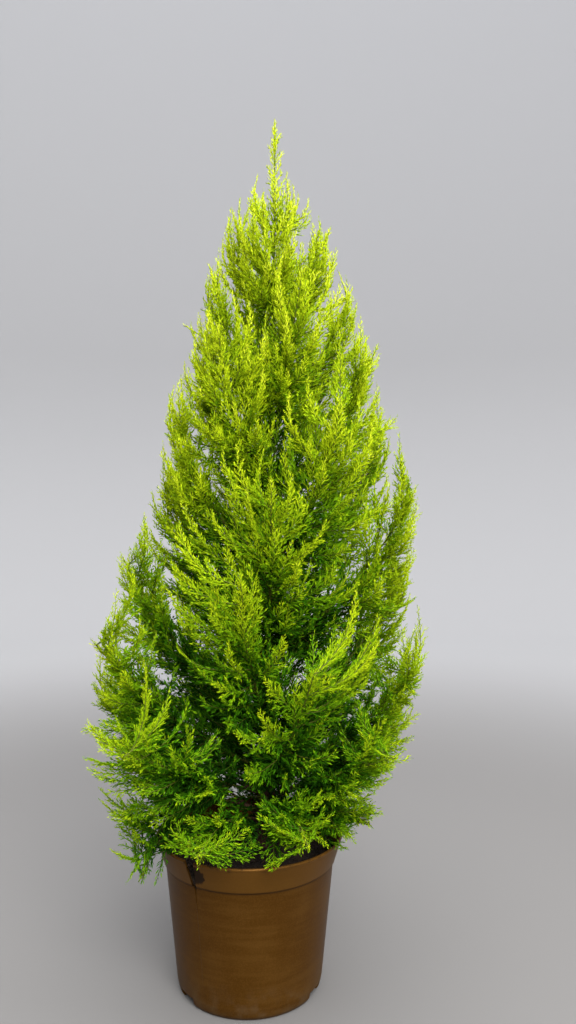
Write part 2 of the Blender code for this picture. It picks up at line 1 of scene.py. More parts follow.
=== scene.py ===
# %% [markdown]
# A lemon cypress in its pot. It is a young upright conifer, about a metre tall with its pot, and
# all its green is feathery: a single leader carries rows of rising plumes, each plume carries
# sprays, each spray carries twigs, and the last twiglets are clothed in needles 3 mm long.
#
# The solids that come with this file are plain: toothed blades on slim stems in a turned pot. They
# fix every size and place. This file grows the same plumes from the same rule and seeds, carries
# them on to needles, and finishes pot, soil and bark as they look on the real plant.

# %% Frame
import math
import random

import bpy
import numpy as np
from mathutils import Matrix, Vector, noise


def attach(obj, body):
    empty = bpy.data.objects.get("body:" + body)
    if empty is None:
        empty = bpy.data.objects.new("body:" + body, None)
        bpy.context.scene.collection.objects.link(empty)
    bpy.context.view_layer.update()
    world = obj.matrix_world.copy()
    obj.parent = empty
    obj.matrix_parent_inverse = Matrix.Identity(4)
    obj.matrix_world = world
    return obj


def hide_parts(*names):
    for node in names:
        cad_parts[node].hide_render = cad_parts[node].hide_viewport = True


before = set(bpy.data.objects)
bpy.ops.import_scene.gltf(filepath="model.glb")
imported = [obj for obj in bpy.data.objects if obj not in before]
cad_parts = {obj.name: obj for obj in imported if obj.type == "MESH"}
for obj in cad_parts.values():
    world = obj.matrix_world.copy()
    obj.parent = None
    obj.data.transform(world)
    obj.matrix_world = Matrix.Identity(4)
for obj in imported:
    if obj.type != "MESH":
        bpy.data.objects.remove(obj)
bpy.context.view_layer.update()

# %% [markdown]
# Every visible piece here is a mesh made from arrays, because the crown has some 270,000 needles.
# Modifiers or instances could make them too, but arrays are quick, give the same result each time
# and leave one plain mesh for each kind of thing.

# %% Meshes from arrays


def in_scene(name, data):
    """An object for a mesh, a light or a camera, put into the scene."""
    made = bpy.data.objects.new(name, data)
    bpy.context.scene.collection.objects.link(made)
    return made


def mesh_piece(name, points, faces, smooth=True):
    """An object from an array of points and one of faces, which all have as many corners."""
    faces = np.asarray(faces, np.int32)
    starts = np.arange(0, faces.size, faces.shape[1], dtype=np.int32)
    mesh = bpy.data.meshes.new(name)
    mesh.vertices.add(len(points))
    mesh.vertices.foreach_set("co", np.asarray(points, np.float32).ravel())
    mesh.loops.add(faces.size)
    mesh.loops.foreach_set("vertex_index", faces.ravel())
    mesh.polygons.add(len(faces))
    mesh.polygons.foreach_set("loop_start", starts)
    mesh.polygons.foreach_set("use_smooth", np.full(len(faces), smooth))
    mesh.update(calc_edges=True)
    return in_scene(name, mesh)


def mixed_piece(name, points, faces):
    """An object from points and from faces of three and of four corners."""
    mesh = bpy.data.meshes.new(name)
    mesh.from_pydata([tuple(point) for point in points], [], faces)
    return in_scene(name, mesh)


def merged(meshes):
    """The points and the faces of several meshes as those of one."""
    points, faces, so_far = [], [], 0
    for some_points, some_faces in meshes:
        points.append(some_points)
        faces.append(some_faces + so_far)
        so_far += len(some_points)
    return np.concatenate(points), np.concatenate(faces)


def put_on(piece, finish, replaced):
    """Gives a piece its finish, its place on the plant's one body and the solids it stands for."""
    piece.data.materials.clear()
    piece.data.materials.append(finish)
    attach(piece, "root")
    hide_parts(*replaced)


def unit(vectors):
    """The same vector, or rows of vectors, one unit long."""
    return vectors / np.linalg.norm(vectors, axis=-1, keepdims=True)


print("mesh tools ready")

# %% [markdown]
# A finish is a net of shader nodes, and much of it is sums: a worn edge is one mask less another.
# Written node by node such sums are hard to read. The class below wraps one output socket, so that
# 1 - dust or 0.3 + 0.2 * grain adds the Math nodes by itself.

# %% Shader sums


class Field:
    """One output socket of a material's nodes. Operators on it add Math nodes."""

    def __init__(self, tree, socket=None):
        self.tree = tree
        self.socket = socket

    def node(self, kind, settings=None, inputs=None, output=0):
        """Adds a node: first its settings, then the values or links of its sockets."""
        made = self.tree.nodes.new("ShaderNode" + kind)
        for name, value in (settings or {}).items():
            setattr(made, name, value)
        for name, value in (inputs or {}).items():
            if isinstance(value, Field):
                self.tree.links.new(value.socket, made.inputs[name])
            else:
                made.inputs[name].default_value = value
        return Field(self.tree, made.outputs[output])

    def math(self, operation, first, second):
        return self.node("Math", {"operation": operation}, {0: first, 1: second})

    def __add__(self, other):
        return self.math("ADD", self, other)

    def __sub__(self, other):
        return self.math("SUBTRACT", self, other)

    def __rsub__(self, other):
        return self.math("SUBTRACT", other, self)

    def __mul__(self, other):
        return self.math("MULTIPLY", self, other)

    __radd__ = __add__
    __rmul__ = __mul__

    def most(self, other):
        """The larger of the two values."""
        return self.math("MAXIMUM", self, other)

    def blend(self, low, high):
        """The colour low where this value is 0 and high where it is 1."""
        settings = {"data_type": "RGBA"}
        return self.node("Mix", settings, {0: self, 6: low, 7: high}, output=2)

    def between(self, start, end):
        """0 below start, 1 above end and even between them."""
        settings = {"interpolation_type": "SMOOTHSTEP"}
        return self.node("MapRange", settings, {"Value": self, "From Min": start, "From Max": end})

    def part(self, axis):
        """One coordinate of a place."""
        return self.node("SeparateXYZ", inputs={"Vector": self}, output=axis)

    def noise(self, place, scale, detail=3.0, rough=0.55):
        inputs = {"Vector": place, "Scale": scale, "Detail": detail, "Roughness": rough}
        return self.node("TexNoise", inputs=inputs)

    def grain(self, place, scales, detail):
        """Noise that is drawn out, with a scale of its own along each axis."""
        drawn_out = self.node("Mapping", inputs={"Vector": place, "Scale": scales})
        return self.noise(drawn_out, 1.0, detail)

    def emboss(self, shader, strength, distance):
        """Uses the value as a relief on the shader's surface."""
        inputs = {"Strength": strength, "Distance": distance, "Height": self}
        self.node("Bump", inputs=inputs).feed(shader, "Normal")

    def feed(self, shader, name):
        self.tree.links.new(self.socket, shader.inputs[name])


def new_finish(name, colour, roughness, specular=0.5, metallic=0.0):
    """A material, its Principled shader and a Field to start its node sums from."""
    made = bpy.data.materials.new(name)
    made.use_nodes = True
    shader = made.node_tree.nodes["Principled BSDF"]
    shader.inputs["Base Color"].default_value = (*colour, 1.0)
    shader.inputs["Roughness"].default_value = roughness
    shader.inputs["Specular IOR Level"].default_value = specular
    shader.inputs["Metallic"].default_value = metallic
    return made, shader, Field(made.node_tree)


def rgba(colour, share=1.0):
    return (colour[0] * share, colour[1] * share, colour[2] * share, 1.0)


print("shader sums ready")

# %% [markdown]
# The studio is a pale bowl: a flat floor that curves up on all sides, so that no view shows a
# horizon. A flat plane with a coloured world would be simpler, but the line where they meet would
# run right behind the plant, because the camera looks out level. The bowl grows lighter away from
# the plant, most of all behind it. One large light hangs overhead, a second stands in front and a
# weak one behind, and a pale world fills in the rest.

# %% Floor and light
FLOOR_RADIUS = 2.4
FLOOR_MIDDLE = 0.8
BOWL_CURVE = 1.4
BOWL_HEIGHT = 3.6
BOWL_SIDES = 96
BOWL_STEPS = 12
FLOOR_DROP = 0.0002
FLOOR_TONE = (0.136, 0.132, 0.129)
WALL_TONE = (0.308, 0.306, 0.309)
FLOOR_NEAR = 0.7
FLOOR_FAR = 2.5
LIGHTER_IN_FRONT = 0.35
FRONT_TO_BACK = (-1.0, 1.0)

LIGHT_AIM = (0.0, 0.0, 0.45)
LIGHTS = (
    ("overhead", (0.3, -1.0, 2.8), 2.8, 85.0, (1.0, 0.985, 0.955)),
    ("back_fill", (-0.6, 1.9, 2.6), 1.6, 18.0, (1.0, 0.985, 0.955)),
    ("front_fill", (0.7, -2.2, 1.8), 1.8, 130.0, (1.0, 0.99, 0.97)),
)
SKY_TONE = (0.93, 0.95, 1.0)
SKY_STRENGTH = 2.8


def bowl_profile():
    turn = np.linspace(0.0, 0.5 * math.pi, BOWL_STEPS)[1:]
    curve = FLOOR_RADIUS + BOWL_CURVE * np.sin(turn)
    rise = BOWL_CURVE * (1 - np.cos(turn))
    radii = [0.0, FLOOR_MIDDLE, FLOOR_RADIUS, *curve, FLOOR_RADIUS + BOWL_CURVE]
    heights = [0.0, 0.0, 0.0, *rise, BOWL_HEIGHT]
    return np.array(radii), np.array(heights) - FLOOR_DROP


def turned_points(radii, heights, sides):
    """Rings of points round the Z axis, one for each radius."""
    turn = 2 * math.pi * np.arange(sides) / sides
    ring = np.stack([np.cos(turn), np.sin(turn)], axis=1)
    flat = radii[:, None, None] * ring[None]
    high = np.broadcast_to(heights[:, None, None], (len(radii), sides, 1))
    return np.concatenate([flat, high], axis=2).reshape(-1, 3)


def ring_faces(rings, sides, closed=False):
    """Four-cornered faces between each ring and the next, and back to the first where closed."""
    last = rings if closed else rings - 1
    low = (np.arange(last) * sides)[:, None]
    high = ((np.arange(last) + 1) % rings * sides)[:, None]
    here = np.arange(sides)[None]
    after = (here + 1) % sides
    return np.stack([low + here, low + after, high + after, high + here], axis=2).reshape(-1, 4)


def area_light(name, place, size, power, colour):
    data = bpy.data.lights.new(name, "AREA")
    data.shape = "DISK"
    data.size = size
    data.energy = power
    data.color = colour
    made = in_scene(name, data)
    made.location = place
    way = Vector(LIGHT_AIM) - Vector(place)
    made.rotation_euler = way.to_track_quat("-Z", "Y").to_euler()


bowl_radii, bowl_heights = bowl_profile()
floor = mesh_piece("studio_floor", turned_points(bowl_radii, bowl_heights, BOWL_SIDES),
                   ring_faces(len(bowl_radii), BOWL_SIDES)[:, ::-1])
floor_finish, floor_shader, floor_start = new_finish("pale_floor", FLOOR_TONE, 0.8, 0.1)
floor_place = floor_start.node("NewGeometry", output="Position")
from_middle = floor_start.node("VectorMath", {"operation": "LENGTH"}, {0: floor_place}, "Value")
behind = floor_place.part("Y").between(*FRONT_TO_BACK)
lighter = from_middle.between(FLOOR_NEAR, FLOOR_FAR)
lighter = lighter * (LIGHTER_IN_FRONT + (1.0 - LIGHTER_IN_FRONT) * behind)
lighter.blend(rgba(FLOOR_TONE), rgba(WALL_TONE)).feed(floor_shader, "Base Color")
floor.data.materials.append(floor_finish)

for light in LIGHTS:
    area_light(*light)

world = bpy.data.worlds.new("studio")
world.use_nodes = True
sky = world.node_tree.nodes["Background"]
sky.inputs["Color"].default_value = rgba(SKY_TONE)
sky.inputs["Strength"].default_value = SKY_STRENGTH
bpy.context.scene.world = world
bpy.context.scene.view_settings.view_transform = "Standard"
print("floor is", 2 * FLOOR_RADIUS, "m across before it curves up")

# %% [markdown]
# The camera stands where the photo was taken from. How much the ellipses of the pot's rim, band and
# foot are opened tells its height and its distance: level, 0.93 m from the pot at 0.53 m height.

# %% Camera
CAMERA_PLACE = (0.0431, -0.925, 0.529)
LENS = 28.65
SENSOR = 36.0

camera = in_scene("camera", bpy.data.cameras.new("camera"))
camera.data.lens = LENS
camera.data.sensor_width = SENSOR
camera.location = CAMERA_PLACE
camera.rotation_euler = (0.5 * math.pi, 0.0, 0.0)
bpy.context.scene.camera = camera
print("camera at", CAMERA_PLACE, "with a lens of", LENS, "mm")

# %% [markdown]
# The pot is thin moulded plastic in satin bronze: a tapering wall, a flared band 28 mm tall
# under a rolled rim, and a foot ring with three raised notches that let the water out. The real one
# is turned in its mould, so a turned profile is the natural way to make it. Its corners are rounded
# in the profile itself, and the notches are cut as they are in the solid, with finer facets.

# %% Pot profile
GAP = 0.0003
RIM_RADIUS = 0.105
RIM_HEIGHT = 0.169
BAND_HEIGHT = 0.0285
BAND_FOOT_RADIUS = 0.0962
BAND_STEP = 0.0017
WALL_FOOT_RADIUS = 0.0816
WALL_FOOT_HEIGHT = 0.012
FOOT_RADIUS = 0.0769
LIP = 0.0022
WALL = 0.0016
BAND_FOOT = RIM_HEIGHT - BAND_HEIGHT
SOIL_LEVEL = 0.152
POT_SIDES = 180
LEAST_ROUNDING = 1e-5


def wall_radius(height):
    share = (height - WALL_FOOT_HEIGHT) / (BAND_FOOT - WALL_FOOT_HEIGHT)
    return WALL_FOOT_RADIUS + share * (BAND_FOOT_RADIUS - BAND_STEP - WALL_FOOT_RADIUS)


def bend(foot, elbow, tip, share):
    """A point, or a line of points, of the curve that leaves foot towards elbow and ends at tip."""
    share = np.asarray(share, float)[..., None]
    return (1 - share) ** 2 * foot + 2 * share * (1 - share) * elbow + share ** 2 * tip


def rounded(corners, steps=5):
    """A profile whose inner corners (radius, height, rounding) are replaced by short curves."""
    line = [corners[0][:2]]
    for before, corner, after in zip(corners, corners[1:], corners[2:]):
        middle = np.array(corner[:2])
        ways = [np.array(other[:2]) - middle for other in (before, after)]
        reach = min(corner[2], *(0.45 * np.linalg.norm(way) for way in ways))
        if reach < LEAST_ROUNDING:
            line.append(tuple(middle))
            continue
        start, end = (middle + reach * unit(way) for way in ways)
        line += [tuple(point) for point in bend(start, middle, end, np.linspace(0.0, 1.0, steps))]
    line.append(corners[-1][:2])
    return np.array(line)


def outer_corners():
    rounding = 0.6 * WALL_FOOT_RADIUS + 0.4 * FOOT_RADIUS
    return [
        (0.0, 0.0, 0.0),
        (FOOT_RADIUS, 0.0, 0.0008),
        (rounding, 0.3 * WALL_FOOT_HEIGHT, 0.003),
        (WALL_FOOT_RADIUS, WALL_FOOT_HEIGHT, 0.006),
        (wall_radius(BAND_FOOT - BAND_STEP), BAND_FOOT - BAND_STEP, 0.0007),
        (BAND_FOOT_RADIUS, BAND_FOOT, 0.0009),
        (RIM_RADIUS - 0.4 * LIP, RIM_HEIGHT - 1.6 * LIP, 0.001),
        (RIM_RADIUS, RIM_HEIGHT - 0.8 * LIP, 0.0009),
        (RIM_RADIUS - 0.4 * LIP, RIM_HEIGHT, 0.0008),
    ]


def inside_reach(height, inset=0.0):
    """Radius of the pot's inside in the flared band."""
    flare = (RIM_RADIUS - 1.2 * LIP - BAND_FOOT_RADIUS + WALL) / (BAND_HEIGHT - BAND_STEP)
    return BAND_FOOT_RADIUS - WALL - inset + flare * (height - BAND_FOOT - BAND_STEP)


def inner_corners(inset=0.0):
    return [
        (0.0, WALL + inset, 0.0),
        (FOOT_RADIUS - WALL - inset, WALL + inset, 0.001),
        (WALL_FOOT_RADIUS - WALL - inset, WALL_FOOT_HEIGHT, 0.005),
        (wall_radius(BAND_FOOT) - WALL - inset, BAND_FOOT - 0.5 * BAND_STEP, 0.001),
        (BAND_FOOT_RADIUS - WALL - inset, BAND_FOOT + BAND_STEP, 0.001),
    ]


outer_line = rounded(outer_corners() + [(0.0, RIM_HEIGHT, 0.0)])
mouth = inside_reach(RIM_HEIGHT)
inner_line = rounded(inner_corners() + [
    (mouth, RIM_HEIGHT - LIP, 0.001),
    (mouth + 0.0007, RIM_HEIGHT + LIP, 0.0),
    (0.0, RIM_HEIGHT + LIP, 0.0),
])
print("pot profile of", len(outer_line) + len(inner_line), "points,",
      "mouth", round(2 * mouth, 3), "m")

# %% Pot shell
NOTCH_AZIMUTHS = (-25.0, 95.0, 215.0)
NOTCH_HEIGHT = 0.010
NOTCH_HALF_WIDTH = 0.013
NOTCH_START = 0.052
DRAIN_RADIUS = 0.004
DRAIN_PLACE = 0.066
DRAIN_SPREAD = 0.0065
DRAIN_CUT = (NOTCH_HEIGHT - 0.002, NOTCH_HEIGHT + 0.004)
DRAIN_SIDES = 24
CUT_BELOW = 0.01


def turned_solid(name, line, sides=POT_SIDES):
    """A closed solid of revolution from a profile that starts and ends on the axis."""
    inner = line[1:-1]
    points = turned_points(inner[:, 0], inner[:, 1], sides)
    points = np.concatenate([[[0.0, 0.0, line[0][1]]], points, [[0.0, 0.0, line[-1][1]]]])
    last = len(points) - 1
    top = 1 + (len(inner) - 1) * sides
    faces = [tuple(face) for face in ring_faces(len(inner), sides) + 1]
    faces += [(0, 1 + (k + 1) % sides, 1 + k) for k in range(sides)]
    faces += [(top + k, top + (k + 1) % sides, last) for k in range(sides)]
    return mixed_piece(name, points, faces)


def box_piece(name, corners_low, corners_high):
    """A block between two quads, listed the same way round."""
    points = [tuple(corner) for corner in (*corners_low, *corners_high)]
    faces = [(3, 2, 1, 0), (4, 5, 6, 7), (0, 1, 5, 4), (1, 2, 6, 5), (2, 3, 7, 6), (3, 0, 4, 7)]
    return mesh_piece(name, points, faces, smooth=False)


def compass(azimuth):
    """The outward and the sideways direction at an azimuth in degrees."""
    turn = math.radians(azimuth)
    outward = np.array([math.cos(turn), math.sin(turn), 0.0])
    return outward, np.array([-outward[1], outward[0], 0.0])


def notch_blocks(grow):
    blocks = []
    for azimuth in NOTCH_AZIMUTHS:
        outward, across = compass(azimuth)
        half = (NOTCH_HALF_WIDTH + grow) * across
        near = (NOTCH_START - grow) * outward
        far = RIM_RADIUS * outward
        plan = [near - half, far - half, far + half, near + half]
        low = [corner + (0, 0, -CUT_BELOW) for corner in plan]
        high = [corner + (0, 0, NOTCH_HEIGHT + grow) for corner in plan]
        blocks.append(box_piece("notch", low, high))
    return blocks


def drain_cutters():
    low, high = DRAIN_CUT
    line = np.array([(0, low), (DRAIN_RADIUS, low), (DRAIN_RADIUS, high), (0, high)])
    cutters = []
    for azimuth in NOTCH_AZIMUTHS:
        outward, across = compass(azimuth)
        for side in (-1, 1):
            x, y, _ = DRAIN_PLACE * outward + side * DRAIN_SPREAD * across
            cutter = turned_solid("drain", line, DRAIN_SIDES)
            cutter.data.transform(Matrix.Translation((x, y, 0)))
            cutters.append(cutter)
    return cutters


def cut(made, cutters):
    """Takes the cutters out of the piece and removes them."""
    for cutter in cutters:
        modifier = made.modifiers.new("cut", "BOOLEAN")
        modifier.operation = "DIFFERENCE"
        modifier.object = cutter
    settle(made)
    for cutter in cutters:
        bpy.data.objects.remove(cutter, do_unlink=True)


def settle(made):
    """The piece's mesh becomes the one that its modifiers make of it."""
    bpy.context.view_layer.update()
    graph = bpy.context.evaluated_depsgraph_get()
    made.data = bpy.data.meshes.new_from_object(made.evaluated_get(graph))
    made.modifiers.clear()


pot = turned_solid("pot_shell", outer_line)
cut(pot, notch_blocks(0.0))
hollow = turned_solid("hollow", inner_line)
cut(hollow, notch_blocks(WALL))
cut(pot, [hollow] + drain_cutters())
print("pot shell has", len(pot.data.polygons), "faces")

# %% [markdown]
# The band has split on the left of the front, as such thin rims do when a pot is carried by them.
# The gap is 12 mm wide at the rim and narrows to the band's foot, and a hairline runs on down the
# wall. It is cut right through, because the dark soil behind it is what the eye sees.

# %% Split in the band
SPLIT_AZIMUTH = 235.5
SPLIT_LINE = (
    (RIM_HEIGHT + 0.004, -0.0060, 0.0062),
    (RIM_HEIGHT - 0.008, -0.0050, 0.0056),
    (BAND_FOOT + 0.008, -0.0032, 0.0042),
    (BAND_FOOT - 0.001, -0.0022, 0.0024),
    (BAND_FOOT - 0.006, -0.0006, 0.0008),
    (BAND_FOOT - 0.026, 0.0010, 0.0014),
)
SPLIT_REACH = (0.076, 0.115)
SPLIT_OVERLAP = 0.00001


def split_cutters():
    """One block for each stretch of the split, through the wall and a little way beyond it."""
    outward, across = compass(SPLIT_AZIMUTH)
    near, far = (reach * outward for reach in SPLIT_REACH)
    blocks = []
    for upper, lower in zip(SPLIT_LINE, SPLIT_LINE[1:]):
        quads = []
        for height, left, right in (lower, (upper[0] + SPLIT_OVERLAP, *upper[1:])):
            left, right = left * across, right * across
            plan = [near + left, far + left, far + right, near + right]
            quads.append([corner + (0, 0, height) for corner in plan])
        blocks.append(box_piece("split", *quads))
    return blocks


cut(pot, split_cutters())
print("split is", round(1000 * (SPLIT_LINE[0][2] - SPLIT_LINE[0][1]), 1), "mm wide at the rim")

# %% [markdown]
# The plastic is satin, a brown pigment with a little fine metal flake, so it is neither plain
# plastic nor bare metal: a third metallic, with a fine grain from the mould. What makes it look
# handled is the dust towards its foot, a few pale scuffs, the soil along the rim and in spots, and
# a dark patch beside the split. The flared band is painted lighter, a painted highlight, and a thin
# ring under its step is painted shade. Each of these is a mask from noise and height, so the finish
# holds on every side of the pot.

# %% Bronze plastic
BRONZE = (0.058, 0.023, 0.002)
# The paler bronze serves for wear and flake, and brighter still as the band's painted highlight.
BRONZE_WORN_AND_SHEEN = (0.090, 0.041, 0.007)
# Colour of soil on the plastic, also used for the painted shade under the band.
SOIL_AND_SHADE_TONE = (0.012, 0.007, 0.004)
DUST = (0.085, 0.058, 0.032)


def soil_and_shade_on_plastic(start, place, height):
    """Soil along the rim and in spots, painted shade in a thin ring under the band's step, and a
    dark patch beside the split.
    """
    rim = height.between(RIM_HEIGHT - 0.007, RIM_HEIGHT)
    rim = rim * start.noise(place, 95.0, 6.0, 0.7).between(0.52, 0.66)
    # Painted shade: an even dark ring just under the band's step, where the band overhangs the
    # wall.
    shade_under_band = height.between(BAND_FOOT - 0.004, BAND_FOOT - 0.001)
    shade_under_band = shade_under_band * height.between(BAND_FOOT + 0.0015, BAND_FOOT)
    spots = start.noise(place, 170.0, 6.0, 0.7).between(0.70, 0.74)
    soil_and_shade = (rim * 0.85).most(shade_under_band * 0.4).most(spots * 0.8)
    outward, across = compass(SPLIT_AZIMUTH)
    # A dark patch on the plastic beside the split.
    dark_patch_place = 0.1 * outward + 0.008 * across
    dark_patch_place[2] = 0.5 * (RIM_HEIGHT + BAND_FOOT)
    apart = {0: place, 1: dark_patch_place}
    from_dark_patch = start.node("VectorMath", {"operation": "DISTANCE"}, apart, "Value")
    dark_patch = (from_dark_patch + 0.014 * start.noise(place, 150.0, 4.0)).between(0.0175, 0.0145)
    return soil_and_shade.most(dark_patch * 0.95)


def bronze_plastic():
    made, shader, start = new_finish("bronze_plastic", BRONZE, 0.42, 0.08, 0.35)
    place = start.node("TexCoord", output="Object")
    height = place.part("Z")
    cloud = start.noise(place, 18.0, 4.0)
    speck = start.noise(place, 620.0, 2.0)
    flow = start.grain(place, (14.0, 14.0, 150.0), 3.0)
    scuff = start.grain(place, (35.0, 35.0, 420.0), 5.0)
    worn = (cloud * 0.5 + flow * 0.5).between(0.44, 0.62) * 0.5 + scuff.between(0.66, 0.76) * 0.35
    tone = worn.blend(rgba(BRONZE), rgba(BRONZE_WORN_AND_SHEEN))
    flake = speck.between(0.35, 0.75) * 0.30
    tone = flake.blend(tone, rgba(BRONZE_WORN_AND_SHEEN, 1.25))
    # Painted highlight: the whole flared band is lighter, as where it faces the light.
    band_highlight = height.between(BAND_FOOT - 0.002, BAND_FOOT + 0.002) * 0.5
    tone = band_highlight.blend(tone, rgba(BRONZE_WORN_AND_SHEEN, 1.45))
    dust = height.between(0.045, 0.002) * start.noise(place, 60.0, 5.0).between(0.40, 0.68) * 0.45
    tone = dust.blend(tone, rgba(DUST))
    soil_and_shade = soil_and_shade_on_plastic(start, place, height)
    # The soil colour also paints the shade ring under the band and the dark patch by the split.
    soil_and_shade.blend(tone, rgba(SOIL_AND_SHADE_TONE)).feed(shader, "Base Color")
    (0.36 + 0.10 * cloud + 0.06 * flow + 0.35 * soil_and_shade + 0.25 * dust).feed(shader, "Roughness")
    (0.35 - 0.35 * soil_and_shade.most(dust)).feed(shader, "Metallic")
    relief = speck * 0.35 + start.noise(place, 130.0, 3.0) * 0.5 + soil_and_shade * 0.8
    relief.emboss(shader, 0.22, 0.0004)
    return made


bevel = pot.modifiers.new("soft_edges", "BEVEL")
bevel.width = 0.00035
bevel.segments = 2
bevel.limit_method = "ANGLE"
bevel.angle_limit = math.radians(50)
settle(pot)
pot.data.shade_smooth()
pot.data.set_sharp_from_angle(angle=math.radians(40))
put_on(pot, bronze_plastic(), ["pot"])
print("pot finished with", len(pot.data.polygons), "faces")

# %% [markdown]
# The compost is dark peat with bits of bark. Only a strip of it shows between the lowest plumes and
# the rim, seen at a low angle, where single crumbs make the outline. So its surface has real lumps
# and a scatter of loose crumbs, and not only a rough finish.

# %% Soil surface
SOIL_SIDES = 150
SOIL_RINGS = 56
SOIL_FOOT = 0.0135
SOIL_LUMP = 0.0026
TRUNK_FOOT_X = 0.016
SOIL_SINK = 0.0012
SOIL_DISH = 0.0020
SOIL_COLLAR = 0.0016
SOIL_PLAY = 0.0002
LUMPS = ((55, 1.0, 0.3), (140, 0.55, 2.1), (380, 0.30, 5.7))


def soil_height(x, y):
    """Height of the lumpy surface, a little lower towards the rim and raised round the stem."""
    away = math.hypot(x, y)
    lump = sum(share * noise.noise((x * scale, y * scale, layer)) for scale, share, layer in LUMPS)
    collar = SOIL_COLLAR * math.exp(-((x - TRUNK_FOOT_X) ** 2 + y ** 2) / 0.0004)
    dish = SOIL_DISH * (away / 0.09) ** 4
    return SOIL_LEVEL - SOIL_SINK + SOIL_LUMP * 0.5 * lump + collar - dish


def soil_body():
    edge = inside_reach(SOIL_LEVEL - 0.003, GAP) - SOIL_PLAY
    radii = edge * np.linspace(0.0, 1.0, SOIL_RINGS + 1)[1:] ** 0.8
    points = turned_points(radii, np.zeros(len(radii)), SOIL_SIDES)
    points[:, 2] = [soil_height(x, y) for x, y, _ in points]
    wall = np.array([line[:2] for line in inner_corners(GAP + SOIL_PLAY)[:1:-1]])
    side = turned_points(np.append(wall[:, 0], wall[-1, 0] - 0.004),
                         np.append(wall[:, 1], SOIL_FOOT), SOIL_SIDES)
    side[:, 2] = np.maximum(side[:, 2], SOIL_FOOT)
    rings = len(side) // SOIL_SIDES
    middle = [[0.0, 0.0, soil_height(0.0, 0.0)], [0.0, 0.0, SOIL_FOOT]]
    points = np.concatenate([points, side, middle])
    faces = [tuple(face[::-1]) for face in ring_faces(SOIL_RINGS + rings, SOIL_SIDES)]
    top, foot = len(points) - 2, len(points) - 1
    low = (SOIL_RINGS + rings - 1) * SOIL_SIDES
    faces += [(top, k, (k + 1) % SOIL_SIDES) for k in range(SOIL_SIDES)]
    faces += [(foot, low + (k + 1) % SOIL_SIDES, low + k) for k in range(SOIL_SIDES)]
    made = mixed_piece("soil_surface", points, faces)
    made.data.shade_smooth()
    return made


soil = soil_body()
print("soil surface has", len(soil.data.polygons), "faces")

# %% Soil crumbs
CRUMBS = 2600
CRUMB_SIZES = (0.0009, 0.0034)
CHIPS = 260
CHIP_SIZES = (0.004, 0.010)
CRUMB_SHAPE = (1.0, 0.85, 0.7)
CHIP_SHAPE = (1.0, 0.32, 0.2)
MOSTLY_SMALL = 2.2
UNEVEN = (0.6, 1.2)
RIM_CLEARANCE = 0.0045
SOIL_SEED = 7

OCTAHEDRON = np.array([(1, 0, 0), (0, 1, 0), (-1, 0, 0), (0, -1, 0), (0, 0, 1), (0, 0, -1)], float)
OCTAHEDRON_FACES = np.array([
    (0, 1, 4), (1, 2, 4), (2, 3, 4), (3, 0, 4), (1, 0, 5), (2, 1, 5), (3, 2, 5), (0, 3, 5),
])


def turned_about(points, rng):
    """Each row of points turned by a random rotation of its own."""
    quarter = unit(rng.normal(size=(len(points), 4)))
    w, x, y, z = quarter.T
    turn = np.array([
        [1 - 2 * (y * y + z * z), 2 * (x * y - z * w), 2 * (x * z + y * w)],
        [2 * (x * y + z * w), 1 - 2 * (x * x + z * z), 2 * (y * z - x * w)],
        [2 * (x * z - y * w), 2 * (y * z + x * w), 1 - 2 * (x * x + y * y)],
    ]).transpose(2, 0, 1)
    return np.einsum("nij,nkj->nki", turn, points)


def scatter(count, sizes, proportions, rng):
    """Lumps with eight uneven sides that lie on the soil inside the rim."""
    reach = inside_reach(SOIL_LEVEL, GAP) - RIM_CLEARANCE
    away = reach * np.sqrt(rng.uniform(0.0, 1.0, count))
    turn = rng.uniform(0.0, 2 * math.pi, count)
    x, y = away * np.cos(turn), away * np.sin(turn)
    size = sizes[0] + (sizes[1] - sizes[0]) * rng.uniform(0.0, 1.0, count) ** MOSTLY_SMALL
    shape = OCTAHEDRON[None] * rng.uniform(*UNEVEN, (count, 6, 1)) * np.array(proportions) * 0.5
    points = turned_about(shape * size[:, None, None], rng)
    height = np.array([soil_height(a, b) for a, b in zip(x, y)])
    points += np.stack([x, y, height + 0.16 * size], axis=1)[:, None]
    faces = OCTAHEDRON_FACES[None] + 6 * np.arange(count)[:, None, None]
    return points.reshape(-1, 3), faces.reshape(-1, 3)


soil_rng = np.random.default_rng(SOIL_SEED)
crumb_points, crumb_faces = scatter(CRUMBS, CRUMB_SIZES, CRUMB_SHAPE, soil_rng)
chip_points, chip_faces = scatter(CHIPS, CHIP_SIZES, CHIP_SHAPE, soil_rng)
crumbs = mesh_piece("soil_crumbs", crumb_points, crumb_faces, smooth=False)
chips = mesh_piece("bark_chips", chip_points, chip_faces, smooth=False)
print(CRUMBS, "crumbs and", CHIPS, "chips on the soil")

# %% [markdown]
# Damp peat is nearly black and dries in patches, so its colour goes from one brown to a paler one
# by a mask of coarse and fine noise together. The same noise roughens it. A plain dark colour would
# be quicker, but the crumbs then run into one black stain. The chips wear the same finish in the
# browns of bark, because they have lain in the peat.

# %% Peat finish
PEAT = (0.0125, 0.0075, 0.0045)
PEAT_DRY = (0.042, 0.026, 0.015)
CHIP_BROWN = (0.062, 0.034, 0.018)


